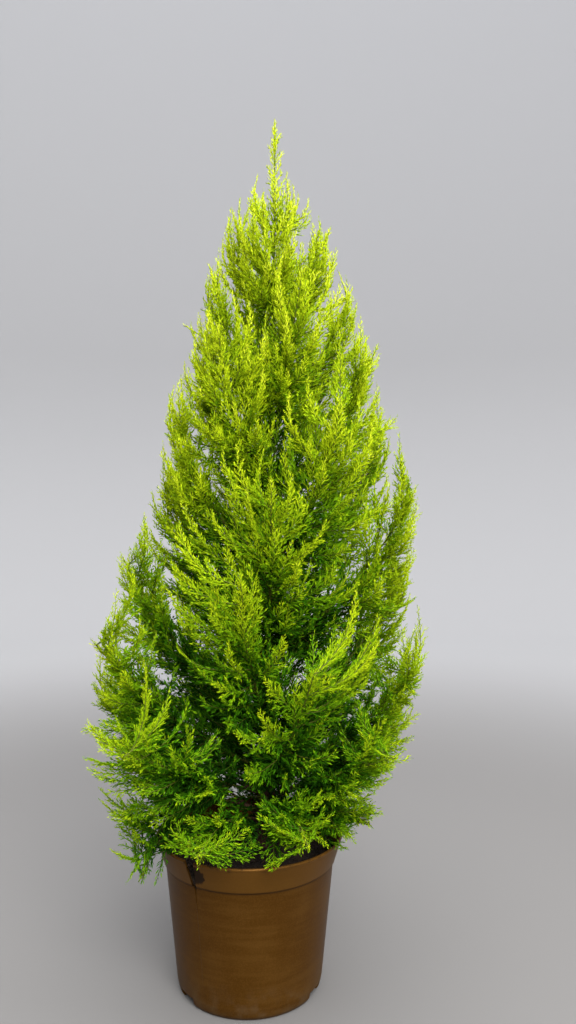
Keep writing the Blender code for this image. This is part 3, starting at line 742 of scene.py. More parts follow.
def peat(name, low, high):
    made, shader, start = new_finish(name, low, 0.95, 0.25)
    place = start.node("TexCoord", output="Object")
    patch = start.noise(place, 70.0, 6.0, 0.65)
    fine = start.noise(place, 620.0, 4.0, 0.7)
    dry = (patch * 0.6 + fine * 0.4).between(0.45, 0.68)
    dry.blend(rgba(low), rgba(high)).feed(shader, "Base Color")
    (0.98 - 0.18 * dry).feed(shader, "Roughness")
    (patch * 0.4 + fine).emboss(shader, 0.9, 0.0012)
    return made


dark_peat = peat("damp_peat", PEAT, PEAT_DRY)
put_on(soil, dark_peat, ["soil"])
put_on(crumbs, dark_peat, ["soil"])
put_on(chips, peat("bark_chip", PEAT_DRY, CHIP_BROWN), ["soil"])
print("soil finished")

# %% [markdown]
# One leader runs from the soil to the top plume. It is straight for a tree, but it leans a little
# to the right and sways, swells at its root and tapers to 2 mm. The solid gives that line as rings
# of twelve corners. Here the same line gets many more rings, so that the furrows of the bark can be
# pressed into the mesh itself and show in its outline.

# %% Line of the trunk
TRUNK_FOOT = SOIL_LEVEL + GAP
TRUNK_TIP = 0.845
TRUNK_FOOT_RADIUS = 0.0064
TRUNK_TIP_RADIUS = 0.0010
FLARE = 0.6
FLARE_HEIGHT = 0.012
TRUNK_LEAN_X = 0.012
TRUNK_SWAY = 0.003


def trunk_rings():
    flare = [TRUNK_FOOT + FLARE_HEIGHT * share for share in (0.0, 0.4, 1.0, 2.2, 4.0)]
    heights = np.array(flare[:-1] + list(np.linspace(flare[-1], TRUNK_TIP, 9)))
    share = (heights - TRUNK_FOOT) / (TRUNK_TIP - TRUNK_FOOT)
    sway = TRUNK_SWAY * np.sin(2.2 * math.pi * share) * (1 - share)
    along_x = TRUNK_FOOT_X + TRUNK_LEAN_X * share + sway
    along_y = 2 * TRUNK_SWAY * np.sin(1.6 * math.pi * share + 0.4) * share * (1 - share)
    taper = TRUNK_FOOT_RADIUS + (TRUNK_TIP_RADIUS - TRUNK_FOOT_RADIUS) * share ** 0.8
    taper *= 1 + FLARE * np.exp((TRUNK_FOOT - heights) / FLARE_HEIGHT)
    return heights, along_x, along_y, taper


TRUNK_RINGS = trunk_rings()


def trunk_centre(height):
    """The middle of the trunk at a height, or at each of several."""
    heights, along_x, along_y, _ = TRUNK_RINGS
    height = np.asarray(height, float)
    x, y = np.interp(height, heights, along_x), np.interp(height, heights, along_y)
    return np.stack([x, y, height], axis=-1)


def trunk_radius(height):
    return np.interp(height, TRUNK_RINGS[0], TRUNK_RINGS[3])


print("trunk from", round(TRUNK_FOOT, 4), "to", TRUNK_TIP, "m,",
      "foot", round(2000 * TRUNK_RINGS[3][0], 1), "mm across")

# %% Bark relief
TRUNK_SIDES = 40
TRUNK_STEP = 0.0028
FURROW = 0.13
TRUNK_SINK = 0.0025


def furrow(x, y, z, radius):
    """Share of the radius by which bark stands out: long ridges with cracks across them."""
    place = (260 * x, 260 * y, 42 * z)
    ridge = 1.0 - 2.2 * abs(noise.noise(place)) + 0.6 * noise.noise((700 * x, 700 * y, 150 * z))
    return FURROW * min(1.0, radius / 0.005) * (ridge - 0.6)


def trunk_mesh():
    heights = np.arange(TRUNK_FOOT - TRUNK_SINK, TRUNK_TIP, TRUNK_STEP)
    centres = trunk_centre(np.maximum(heights, TRUNK_FOOT))
    centres[:, 2] = heights
    radii = trunk_radius(heights)
    points = []
    for centre, radius in zip(centres, radii):
        for k in range(TRUNK_SIDES):
            turn = 2 * math.pi * k / TRUNK_SIDES
            x, y = radius * math.cos(turn), radius * math.sin(turn)
            grow = 1.0 + furrow(x, y, centre[2], radius)
            points.append((centre[0] + x * grow, centre[1] + y * grow, centre[2]))
    return mesh_piece("trunk_bark", points, ring_faces(len(heights), TRUNK_SIDES))


trunk = trunk_mesh()
print("trunk bark has", len(trunk.data.polygons), "faces")

# %% [markdown]
# Where the plumes run is a plan: rows of them from the top down, each with a foot on the trunk, an
# elbow and a tip on the crown's outer surface. The crown is a little fuller on the left, as the
# real one is. The plan, its sizes and its seed are the solids' own, so the dressed plumes lie where
# the solids are.

# %% Crown surface
PLANT_HEIGHT = 0.975
REACH_HEIGHTS = (0.10, 0.16, 0.22, 0.27, 0.34, 0.40, 0.49)
REACH_HEIGHTS += (0.54, 0.63, 0.72, 0.80, 0.87, 0.90, 0.975)
REACH_LEFT = (0.135, 0.165, 0.178, 0.203, 0.200, 0.189, 0.163)
REACH_LEFT += (0.136, 0.118, 0.099, 0.073, 0.055, 0.024, 0.004)
REACH_RIGHT = (0.080, 0.092, 0.136, 0.165, 0.166, 0.168, 0.164)
REACH_RIGHT += (0.167, 0.144, 0.115, 0.082, 0.055, 0.024, 0.004)
SQUARENESS = 3.0
OVER_REACH = 0.004


def crown_reach(height, azimuth):
    """Distance from the trunk to the crown's surface, at a height and an azimuth in radians."""
    left = np.interp(height, REACH_HEIGHTS, REACH_LEFT)
    right = np.interp(height, REACH_HEIGHTS, REACH_RIGHT)
    lean = np.cos(azimuth)
    mean = 0.5 * (left + right)
    reach = mean + np.where(lean > 0, right - mean, left - mean) * np.abs(lean)
    rounding = np.abs(np.cos(azimuth)) ** SQUARENESS + np.abs(np.sin(azimuth)) ** SQUARENESS
    return reach * rounding ** (-1 / SQUARENESS)


print("crown is widest at", round(max(REACH_LEFT) + max(REACH_RIGHT), 3), "m")

# %% Plan of the plumes
LEFT_LIFT = 0.013
TIP_JITTER = 0.006
FOOT_JITTER = 0.008
ROWS = (
    (0.862, 0.752, 0.30, (-12, 75, 170, 258)),
    (0.787, 0.645, 0.30, (20, 110, 195, 290)),
    (0.721, 0.553, 0.30, (-18, 65, 155, 240)),
    (0.650, 0.455, 0.30, (12, 105, 197, 300)),
    (0.568, 0.362, 0.32, (-16, 60, 160, 272)),
    (0.470, 0.282, 0.35, (14, 100, 185, 262)),
    (0.386, 0.228, 0.42, (-20, 50, 125, 205, 285)),
    (0.300, 0.202, 0.65, (8, 65, 120, 172, 232, 312)),
    (0.198, 0.176, 2.60, (-30, 30, 90, 150, 248, 288)),
)
ELBOW_REACH = 0.62
FIRST_ROW_WITH_BOUGHS = 7
BOUGH_SHARE = 0.20
DROOPER_AZIMUTH = 207
DROOPER_FOOT = 0.188
DROOPER_REACH = 0.143
DROOPER_TIP = 0.137
DROOPER_ELBOW = (0.122, 0.258)
SEED = 41


def directions(curve, shares):
    """Unit tangents of the curve."""
    foot, elbow, tip = curve
    share = np.asarray(shares, float)[..., None]
    return unit((1 - share) * (elbow - foot) + share * (tip - elbow))


def row_plume(row, azimuth, rng):
    tip_height, foot_height, elbow_lift, _ = ROWS[row]
    outward, _ = compass(azimuth)
    tip_height -= LEFT_LIFT * outward[0] * min(1.0, (tip_height - SOIL_LEVEL) / SOIL_LEVEL)
    tip_height += rng.uniform(-TIP_JITTER, TIP_JITTER)
    foot = trunk_centre(foot_height + rng.uniform(-FOOT_JITTER, FOOT_JITTER))
    reach = float(crown_reach(tip_height, math.radians(azimuth)))
    tip = trunk_centre(tip_height) + outward * reach
    elbow = foot + outward * ELBOW_REACH * reach
    elbow[2] = foot[2] + elbow_lift * (tip_height - foot[2])
    return foot, elbow, tip


def drooping_plume():
    outward, _ = compass(DROOPER_AZIMUTH)
    axis = np.array([TRUNK_FOOT_X, 0.0, 0.0])
    tip = axis + outward * DROOPER_REACH + np.array([0.0, 0.0, DROOPER_TIP])
    elbow = axis + outward * DROOPER_ELBOW[0] + np.array([0.0, 0.0, DROOPER_ELBOW[1]])
    return trunk_centre(DROOPER_FOOT), elbow, tip


def plan_plumes():
    """Every plume from the top down: its row, its curve and where its foliage starts on it."""
    rng = random.Random(SEED)
    top = trunk_centre(TRUNK_TIP)
    tip = top + np.array([0.0, 0.0, PLANT_HEIGHT - TRUNK_TIP])
    plumes = [{"row": -1, "curve": (top, 0.5 * (top + tip), tip), "start": 0.0}]
    for row, (_, _, _, azimuths) in enumerate(ROWS):
        start = BOUGH_SHARE if row >= FIRST_ROW_WITH_BOUGHS else 0.0
        for azimuth in azimuths:
            plumes.append({"row": row, "curve": row_plume(row, azimuth, rng), "start": start})
    plumes.append({"row": len(ROWS) - 1, "curve": drooping_plume(), "start": BOUGH_SHARE})
    return plumes


plumes = plan_plumes()
print(len(plumes), "plumes planned")

# %% [markdown]
# Plumes of a real crown share the light, so each keeps to its own room. The rule for that room is
# short: a point belongs to the plume whose stem is nearest, and it stays clear of the trunk, the
# boughs, the pot and the crown's outer surface. The solids' sprays were placed by this test, and
# the same test here brings the same sprays back.

# %% Room of each plume
BOUGH_RADIUS = 0.0026
BOUGH_TIP_RADIUS = 0.0016
SPACE_MARGIN = 0.0015
LIMB_MARGIN = 0.0020
POT_MARGIN = 0.0030


def in_the_way(points, margin=POT_MARGIN):
    """Which points lie in the pot's wall, in the soil or too near them."""
    from_axis = np.hypot(points[:, 0], points[:, 1])
    low = points[:, 2] < RIM_HEIGHT + margin
    inside = from_axis < BAND_FOOT_RADIUS - WALL - margin
    over_soil = inside & (points[:, 2] > SOIL_LEVEL + margin)
    return low & ~over_soil & ~(from_axis > RIM_RADIUS + margin)


def outside_crown(points, margin=OVER_REACH):
    """Which points lie further out than the crown's surface."""
    offset = points[:, :2] - trunk_centre(points[:, 2])[:, :2]
    azimuths = np.arctan2(offset[:, 1], offset[:, 0])
    return np.hypot(offset[:, 0], offset[:, 1]) >= crown_reach(points[:, 2], azimuths) + margin


def apart(points, others):
    """Distances from each point to each of the others."""
    return np.linalg.norm(points[:, None] - others[None], axis=2)


class Room:
    """Tells which points a plume may use."""

    def __init__(self):
        heights = np.arange(TRUNK_FOOT, TRUNK_TIP, 0.004)
        stems, owners = [], []
        limbs = [(trunk_centre(z), float(trunk_radius(z))) for z in heights]
        for number, plume in enumerate(plumes):
            line = bend(*plume["curve"], np.linspace(plume["start"], 1.0, 40))
            stems.append(line)
            owners += [number] * len(line)
            if plume["start"] > 0:
                bough = bend(*plume["curve"], np.linspace(0.02, plume["start"] - 0.03, 14))
                limbs += [(point, BOUGH_RADIUS) for point in bough]
        self.stems = np.concatenate(stems)
        self.owners = np.array(owners)
        self.limbs = np.array([point for point, _ in limbs])
        self.limb_radii = np.array([radius for _, radius in limbs])

    def holds(self, number, points):
        to_stems = apart(points, self.stems)
        own = to_stems[:, self.owners == number].min(axis=1)
        other = to_stems[:, self.owners != number].min(axis=1)
        to_limbs = (apart(points, self.limbs) - self.limb_radii).min(axis=1)
        strayed = (own + SPACE_MARGIN > other) | (to_limbs < LIMB_MARGIN)
        return not (strayed | in_the_way(points) | outside_crown(points)).any()

    def owner(self, points):
        """The plume in whose room each point lies."""
        return self.owners[apart(points, self.stems).argmin(axis=1)]


room = Room()
print("room is measured from", len(room.stems), "points on the stems")

# %% [markdown]
# A spray is a flat, toothed fan that stands out of its stem. The solid shows it as one thin blade
# with three teeth on each side, and takes the largest blade that fits its plume's room. To find the
# same sprays, this file has to work out the same blade and offer it to the same test, with the same
# random numbers. The blade itself isn't shown: it only tells where the spray runs.

# %% Outline of a spray
TEETH = 3
TEETH_SHARE = 0.86
TOOTH_FORWARD = 0.75
TOOTH_BACK = 0.30
TOOTH_LIFT = 0.40
TOOTH_SIZES = (0.85, 1.12)
LEAF_START = 0.10
LEAF_SPAN = 0.78
SPRAY_CORE = 0.22
SPRAY_THICKNESS = 0.0010


def ridge_place(sides, first, last):
    """A place on the ridge that sees every rim edge of the teeth first to last."""
    behind, ahead = [0.0], []
    for line in sides:
        for k in range(first, last + 1):
            tooth = line[2 * k]
            valley_behind = line[2 * k - 1] if k else None
            for valley, bounds in ((valley_behind, behind), (line[2 * k + 1], ahead)):
                if valley:
                    share = valley[1] / tooth[1]
                    bounds.append((valley[0] - share * tooth[0]) / (1 - share))
    return 0.5 * (max(behind) + min(ahead))


def spray_outline(length, width, rng):
    """Points of a spray's toothed outline and ridge: along it, across it and out of its flat."""
    pitch = TEETH_SHARE * length / TEETH
    sides = []
    for side in (-1, 1):
        line = []
        for k in range(TEETH):
            place = LEAF_START + LEAF_SPAN * (k + 0.6) / TEETH
            reach = width * length * math.sin(math.pi * place)
            reach *= rng.uniform(*TOOTH_SIZES)
            valley = (k + 1) * pitch
            ahead = min(valley + TOOTH_FORWARD * reach - TOOTH_BACK * pitch, 0.98 * length)
            lift = TOOTH_LIFT * reach * (1 if (k + (side > 0)) % 2 else -1)
            lift *= rng.uniform(0.4, 1.0)
            line.append((ahead, side * reach, lift))
            line.append((valley, side * SPRAY_CORE * reach, 0.0))
        sides.append(line)
    ridge = []
    for k in range(0, TEETH, 2):
        along = ridge_place(sides, k, min(k + 1, TEETH - 1))
        ridge.append((along, 0.0, SPRAY_THICKNESS * (1.15 - along / length)))
    under = [(along, across, -out) for along, across, out in ridge]
    return np.array([(0.0, 0.0, 0.0), (length, 0.0, 0.0), *sides[0], *sides[1], *ridge, *under])


def outline_in_place(points, start, along, flat, towards, length):
    """Rim and ridge points of a spray that bends towards a direction, and points between them."""
    across = np.cross(flat, along)
    lift = towards - along * (towards @ along)
    bow = SPRAY_BEND * (points[:, :1] / length) ** 2 * length
    placed = start + points[:, :1] * along + points[:, 1:2] * across
    placed = placed + points[:, 2:] * flat + bow * lift
    return np.concatenate([placed[1:], 0.5 * (placed[1:-1] + placed[2:])])


print("a spray's outline has", TEETH, "teeth on each side")

# %% Sprays of the solids
STEM_END = 0.84
FIRST_SPRAY = 0.10
LAST_SPRAY = 0.86
SPRAY_SPACING = 0.032
FEWEST_SPRAYS = 4
MOST_SPRAYS = 6
SPRAY_LENGTH = 0.110
LEADER_SPRAY_SHARE = 0.30
SPRAY_SHARE = 0.62
SPRAY_ANGLE_LOW = 48.0
SPRAY_ANGLE_HIGH = 28.0
SPRAY_WIDTH = 0.39
TIP_WIDTHS = (0.24, 0.18, 0.12)
TIP_SPRAY_SHARE = 0.30
TIP_SPRAY_SINK = 0.06
SPRAY_BEND = 0.10
SPRAY_TAPER = 0.42
SPRAY_SWING = 0.12
SPRAY_SCALES = (1.0, 0.88, 0.76, 0.64, 0.52, 0.40)
SPRAY_TURNS = (0, 24, -24, 48, -48, 72, -72)
FLAT_TURN = 0.6
SIDE_HINT = (0.31, 0.52, -0.79)
GOLDEN_ANGLE = math.radians(137.508)


def length_of(line):
    return float(np.linalg.norm(np.diff(line, axis=0), axis=1).sum())


def leave_trunk(curve):
    """Share of the curve at which it comes out of the trunk."""
    for share in np.linspace(0.0, 0.5, 501):
        point = bend(*curve, share)
        if math.hypot(*(point - trunk_centre(point[2]))[:2]) > trunk_radius(point[2]) + GAP:
            return float(share)
    return 0.0


def flat_direction(start, along, rng):
    """A flat side that looks out of the crown, turned a little."""
    outward = start - trunk_centre(start[2])
    outward[2] = 0.3 * np.hypot(outward[0], outward[1]) + 0.002
    flat = outward - along * (outward @ along)
    across = unit(np.cross(along, flat))
    turn = rng.uniform(-FLAT_TURN, FLAT_TURN)
    return unit(math.cos(turn) * unit(flat) + math.sin(turn) * across)


def fitting_spray(number, root, stem, full, angle, turn, shape_seed):
    """The longest spray at this root that its plume has room for, turned as little as may be."""
    side = unit(np.cross(stem, SIDE_HINT))
    other = np.cross(stem, side)
    for scale in SPRAY_SCALES:
        for more in SPRAY_TURNS:
            around = turn + math.radians(more)
            sideways = math.cos(around) * side + math.sin(around) * other
            along = math.cos(angle) * stem + math.sin(angle) * sideways
            flat = flat_direction(root, along, random.Random(shape_seed))
            outline = spray_outline(full * scale, SPRAY_WIDTH, random.Random(shape_seed))
            if room.holds(number, outline_in_place(outline, root, along, flat, stem, full * scale)):
                return root, along, flat, stem, full * scale, SPRAY_WIDTH
    return None


def sprays_of(number, plume):
    """The sprays of one plume: start, axis, flat, bend, length and width, with the tip's last."""
    rng = random.Random(SEED + 100 + number)
    curve = plume["curve"]
    start = max(plume["start"], leave_trunk(curve) if plume["row"] >= 0 else 0.0)
    stem_length = length_of(bend(*curve, np.linspace(start, 1.0, 30)))
    count = int(min(MOST_SPRAYS, max(FEWEST_SPRAYS, round(stem_length / SPRAY_SPACING))))
    first_turn = rng.uniform(0, 2 * math.pi)
    most = LEADER_SPRAY_SHARE if plume["row"] < 0 else SPRAY_SHARE
    found = []
    for k in range(count):
        share = FIRST_SPRAY + (LAST_SPRAY - FIRST_SPRAY) * (k + 0.5) / count
        here = start + (1 - start) * share
        full = min(SPRAY_LENGTH, most * stem_length) * (1.0 - SPRAY_TAPER * share)
        angle = math.radians(SPRAY_ANGLE_LOW + (SPRAY_ANGLE_HIGH - SPRAY_ANGLE_LOW) * share)
        angle += rng.uniform(-SPRAY_SWING, SPRAY_SWING)
        found.append(fitting_spray(number, bend(*curve, here), directions(curve, here), full, angle,
                                   first_turn + k * GOLDEN_ANGLE, rng.random()))
    end = min(STEM_END, 1 - TIP_SPRAY_SHARE * SPRAY_LENGTH / stem_length)
    root, tip = bend(*curve, start + (1 - start) * (end - TIP_SPRAY_SINK)), bend(*curve, 1.0)
    along = unit(tip - root)
    shape_seed = rng.random()
    flat = flat_direction(root, along, random.Random(shape_seed))
    length = float(np.linalg.norm(tip - root))
    for width in TIP_WIDTHS:
        outline = spray_outline(length, width, random.Random(shape_seed))
        if room.holds(number, outline_in_place(outline, root, along, flat, along, length)):
            break
    found.append((root, along, flat, along, length, width))
    return start, [spray for spray in found if spray]


for number, plume in enumerate(plumes):
    plume["leaves"], plume["sprays"] = sprays_of(number, plume)
print(sum(len(plume["sprays"]) for plume in plumes), "sprays as in the solids")

# %% [markdown]
# Bark on so young a tree is thin and stringy, reddish brown at the foot and greener towards the
# top. The boughs at the foot of the tree wear the same bark. They are tubes with a swollen collar
# where they leave the trunk, and their furrows are pressed in as on the trunk.

# %% Boughs and their bark
BOUGH_SIDES = 18
BOUGH_STEP = 0.0018
BARK_RED = (0.070, 0.036, 0.019)
BARK_DARK = (0.022, 0.012, 0.007)
BARK_GREEN = (0.050, 0.058, 0.016)
BOUGH_SINK = 0.012
COLLAR_SWELL = 0.55
COLLAR_LENGTH = 0.005


def sweep(line, tangents, radii, sides):
    """Rings of points round a line, without twist. Each ring is one row of the result."""
    side = np.array([0.0, 0.0, 1.0])
    turn = 2 * math.pi * np.arange(sides) / sides
    rings = []
    for centre, tangent, radius in zip(line, tangents, radii):
        side = unit(side - tangent * (side @ tangent))
        other = np.cross(tangent, side)
        ring = np.cos(turn)[:, None] * side + np.sin(turn)[:, None] * other
        rings.append(centre + radius * ring)
    return np.array(rings)


def bough_rings(curve, start):
    first = max(0.0, leave_trunk(curve) - BOUGH_SINK)
    length = length_of(bend(*curve, np.linspace(first, start, 12)))
    shares = np.linspace(first, start, max(8, int(length / BOUGH_STEP)))
    radii = np.linspace(BOUGH_RADIUS, BOUGH_TIP_RADIUS, len(shares))
    line = bend(*curve, shares)
    way = np.linspace(0.0, length, len(shares))
    radii *= 1.0 + COLLAR_SWELL * np.exp(-way / COLLAR_LENGTH)
    rings = sweep(line, directions(curve, shares), radii, BOUGH_SIDES)
    for ring, centre, radius, away in zip(rings, line, radii, way):
        for k, point in enumerate(ring):
            offset = point - centre
            grow = 1.0 + furrow(*(1.6 * offset[:2] + centre[:2]), 2.0 * away, 2.0 * radius)
            ring[k] = centre + offset * grow
    return rings


def bark(name, low_height, high_height):
    made, shader, start = new_finish(name, BARK_RED, 0.9, 0.2)
    place = start.node("TexCoord", output="Object")
    height = place.part("Z")
    strings = start.grain(place, (420.0, 420.0, 60.0), 5.0)
    tone = strings.between(0.36, 0.62).blend(rgba(BARK_DARK), rgba(BARK_RED))
    greener = height.between(low_height, high_height)
    greener.blend(tone, rgba(BARK_GREEN)).feed(shader, "Base Color")
    (0.95 - 0.2 * strings).feed(shader, "Roughness")
    strings.emboss(shader, 0.6, 0.0006)
    return made


bark_finish = bark("young_bark", 0.45, 0.85)
put_on(trunk, bark_finish, ["trunk"])
bough_names, bough_meshes = [], []
for number, plume in enumerate(plumes):
    if plume["start"] > 0:
        bough_names.append(f"bough_{number:02d}")
        rings = bough_rings(plume["curve"], plume["start"])
        bough_meshes.append((rings.reshape(-1, 3), ring_faces(len(rings), BOUGH_SIDES)))
boughs = mesh_piece("bough_bark", *merged(bough_meshes))
put_on(boughs, bark_finish, bough_names)
print(len(bough_names), "boughs with", len(boughs.data.polygons), "faces")

# %% [markdown]
# From here on there are thousands of shoots, and each is a curve with the same shape: it leaves its
# start in one direction and bows towards another. So they are kept as rows of arrays, and one rule
# gives the children of all of them at once. A plume's own curve fits the same form exactly.

# %% Shoots
SPRAY_NUMBERS = {
    "stems": 0, "sprays": 100, "trunk": 500, "shells": 1000, "gaps": 7600, "spires": 8000,
}


class Shoots:
    """Rows of curved shoots: start, direction, flat side, bow at the tip, length, spray and youth.

    The spray is a number that all keep that grow on it. Youth is the shoot's place on its spray,
    from 0 at the spray's foot to 1 at its tip.
    """

    def __init__(self, start, along, flat, bow, length, spray, youth=None):
        self.start = start
        self.along = along
        self.flat = flat
        self.bow = bow
        self.length = length
        self.spray = spray
        self.youth = np.zeros(len(length)) if youth is None else youth

    def at(self, rows, share):
        share = np.asarray(share)[..., None]
        way = self.along[rows] * share + self.bow[rows] * share ** 2
        return self.start[rows] + self.length[rows][..., None] * way

    def each(self, share):
        """The point of every shoot at the same share of its length."""
        return self.at(slice(None), np.full(len(self.length), share))

    def heading(self, rows, share):
        return unit(self.along[rows] + 2 * np.asarray(share)[..., None] * self.bow[rows])

    def pick(self, keep):
        return Shoots(*(column[keep] for column in self.columns()))

    def columns(self):
        return self.start, self.along, self.flat, self.bow, self.length, self.spray, self.youth


def joined(*groups):
    columns = zip(*(group.columns() for group in groups))
    return Shoots(*(np.concatenate(column) for column in columns))


def square_part(vectors, along):
    """What is left of the vectors when their part along other unit rows is taken off."""
    return vectors - along * np.sum(vectors * along, axis=-1, keepdims=True)


def upright(vectors, along):
    """The same square part, one unit long."""
    return unit(square_part(vectors, along))


def stem_shoots():
    """The stems as shoots, from where the foliage starts to the tip."""
    start, along, flat, bow, length = [], [], [], [], []
    for plume in plumes:
        foot, elbow, tip = plume["curve"]
        first = plume["leaves"]
        here = bend(foot, elbow, tip, first)
        way = length_of(bend(foot, elbow, tip, np.linspace(first, 1.0, 30)))
        slope = 2 * ((1 - first) * (elbow - foot) + first * (tip - elbow))
        start.append(here)
        along.append(slope * (1 - first) / way)
        bow.append((foot - 2 * elbow + tip) * (1 - first) ** 2 / way)
        flat.append(upright(np.array(SIDE_HINT), unit(along[-1])))
        length.append(way)
    columns = (np.array(column) for column in (start, along, flat, bow, length))
    return Shoots(*columns, SPRAY_NUMBERS["stems"] + np.arange(len(plumes)))


def source_sprays():
    rows = [spray for plume in plumes for spray in plume["sprays"]]
    root, along, flat, stem, length, _ = (np.array(column) for column in zip(*rows))
    bow = SPRAY_BEND * square_part(stem, along)
    spray = SPRAY_NUMBERS["sprays"] + np.arange(len(rows))
    return Shoots(root, along, flat, bow, length, spray)


stems = stem_shoots()
sprays = source_sprays()
print(len(stems.length), "stems,", len(sprays.length), "sprays,",
      round(float(sprays.length.mean()), 3), "m each")

# %% [markdown]
# The solids show only the largest sprays of each plume. On the plant slim feathers by the thousand
# stand between them and close the crown. They could be dealt out along the stems, as the large
# ones are, but then the crown comes out as forty clubs. What the eye reads as one curtain is that
# the tips lie evenly over the crown. So the rule is turned round here: tips are dealt out by the
# golden angle over the crown's surface and over shells inside it, and each tip is grown from the
# stem in whose room it lies. In one place the tips are drawn in: low in the front the crown opens
# into a dark hollow.

# %% Tips dealt out over the crown
UP = np.array([0.0, 0.0, 1.0])
SHELLS = (
    (560, 1.00, 0.075, 0.175, 0.915),
    (360, 0.80, 0.078, 0.180, 0.915),
    (210, 0.56, 0.080, 0.190, 0.900),
    (130, 0.36, 0.075, 0.195, 0.780),
    (120, 0.90, 0.052, 0.182, 0.330),
    (110, 0.66, 0.058, 0.186, 0.340),
    (120, 0.48, 0.066, 0.190, 0.460),
)
TIP_SWING = 0.012
HOLLOW_AZIMUTH = 273.0
HOLLOW_HEIGHT = 0.355
HOLLOW_SIZE = (22.0, 0.105)
HOLLOW_DEPTH = 0.48


def outward_at(turn):
    return np.stack([np.cos(turn), np.sin(turn), np.zeros(len(turn))], axis=1)


def hollow_at(height, turn):
    """1 in the middle of the dark hollow between the front plumes, and 0 away from it."""
    aside = (np.degrees(turn) - HOLLOW_AZIMUTH + 180.0) % 360.0 - 180.0
    return np.exp(-(aside / HOLLOW_SIZE[0]) ** 2 - ((height - HOLLOW_HEIGHT) / HOLLOW_SIZE[1]) ** 2)


def shell_tips(count, share, foot, top, rng):
    """Points spread evenly over a stretch of the crown's surface, at a share of its reach."""
    heights = np.linspace(foot, top, 400)
    around = np.linspace(0.0, 2 * math.pi, 24, endpoint=False)
    girth = crown_reach(heights[:, None], around[None]).mean(axis=1) + 0.006
    filled = np.concatenate([[0.0], np.cumsum(0.5 * (girth[1:] + girth[:-1]))])
    height = np.interp((np.arange(count) + 0.5) / count * filled[-1], filled, heights)
    turn = np.arange(count) * GOLDEN_ANGLE + rng.uniform(-0.12, 0.12, count)
    height = height + rng.uniform(-TIP_SWING, TIP_SWING, count)
    reach = crown_reach(height, turn) * share * rng.uniform(0.84, 1.0, count)
    reach *= 1.0 - HOLLOW_DEPTH * share * hollow_at(height, turn)
    return trunk_centre(height) + reach[:, None] * outward_at(turn)


shell_rng = np.random.default_rng(SEED + 300)
tips = [shell_tips(count, share, foot, top, shell_rng) for count, share, _, foot, top in SHELLS]
print([len(some) for some in tips], "tips over", len(SHELLS), "shells")

# %% Feathers grown to the tips
FEATHER_SWEEP = 0.31
LEAST_FEATHER = 0.022
MOST_FEATHER = 0.120
STEEP_ABOVE = (0.12, 0.60)
TRUNK_FEATHERS = 280
TRUNK_FEATHER_FOOT = 0.178
TRUNK_FEATHER_LENGTH = 0.110
ROOT_TRIALS = 60


def steepness(height):
    """How upright shoots grow at a height: 0 at the pot's rim, where they hang out, to 1 above."""
    return np.clip((height - STEEP_ABOVE[0]) / (STEEP_ABOVE[1] - STEEP_ABOVE[0]), 0.0, 1.0)


def feather_roots(points, wanted, rng):
    """For each tip the place on its plume's stem that suits a feather best."""
    owner = room.owner(points)
    shares = np.linspace(0.02, 0.96, ROOT_TRIALS)
    roots = []
    for point, number in zip(points, owner):
        line = stems.at(np.full(ROOT_TRIALS, number), shares)
        way = point - line
        length = np.linalg.norm(way, axis=1)
        climb = 0.40 + 0.51 * float(steepness(point[2]))
        cost = np.abs(length / wanted - 1) + 1.6 * np.abs(way[:, 2] / length - climb)
        cost += rng.uniform(0.0, 0.15, ROOT_TRIALS)
        roots.append(line[cost.argmin()])
    return np.array(roots)


def curved_shoots(roots, points, sweep, spray, rng):
    """Shoots from roots to tips that leave level and end upright, by sweep times their length."""
    way = points - roots
    length = np.linalg.norm(way, axis=1)
    level = unit(way * (1.0, 1.0, 0.0) + 1e-6)
    side = sweep[:, None] * (level - 0.8 * UP) + 0.03 * rng.normal(size=way.shape)
    elbow = roots + 0.5 * way + length[:, None] * side
    along = 2 * (elbow - roots) / length[:, None]
    bow = (roots - 2 * elbow + points) / length[:, None]
    flat = upright(level + 0.35 * rng.normal(size=way.shape), unit(way))
    return Shoots(roots, along, flat, bow, length, spray)


def free_shoots(shoots):
    """Those that keep clear of pot and soil and inside the crown."""
    bad = np.zeros(len(shoots.length), bool)
    for share in (0.4, 0.7, 1.0):
        points = shoots.each(share)
        bad |= in_the_way(points, 0.004) | outside_crown(points, 0.003)
    return shoots.pick(~bad & (shoots.length > LEAST_FEATHER) & (shoots.length < MOST_FEATHER))


def feathers_to(points, wanted, first, rng):
    roots = feather_roots(points, wanted, rng)
    sweep = FEATHER_SWEEP * (0.30 + 0.70 * steepness(points[:, 2]))
    return free_shoots(curved_shoots(roots, points, sweep, first + np.arange(len(points)), rng))


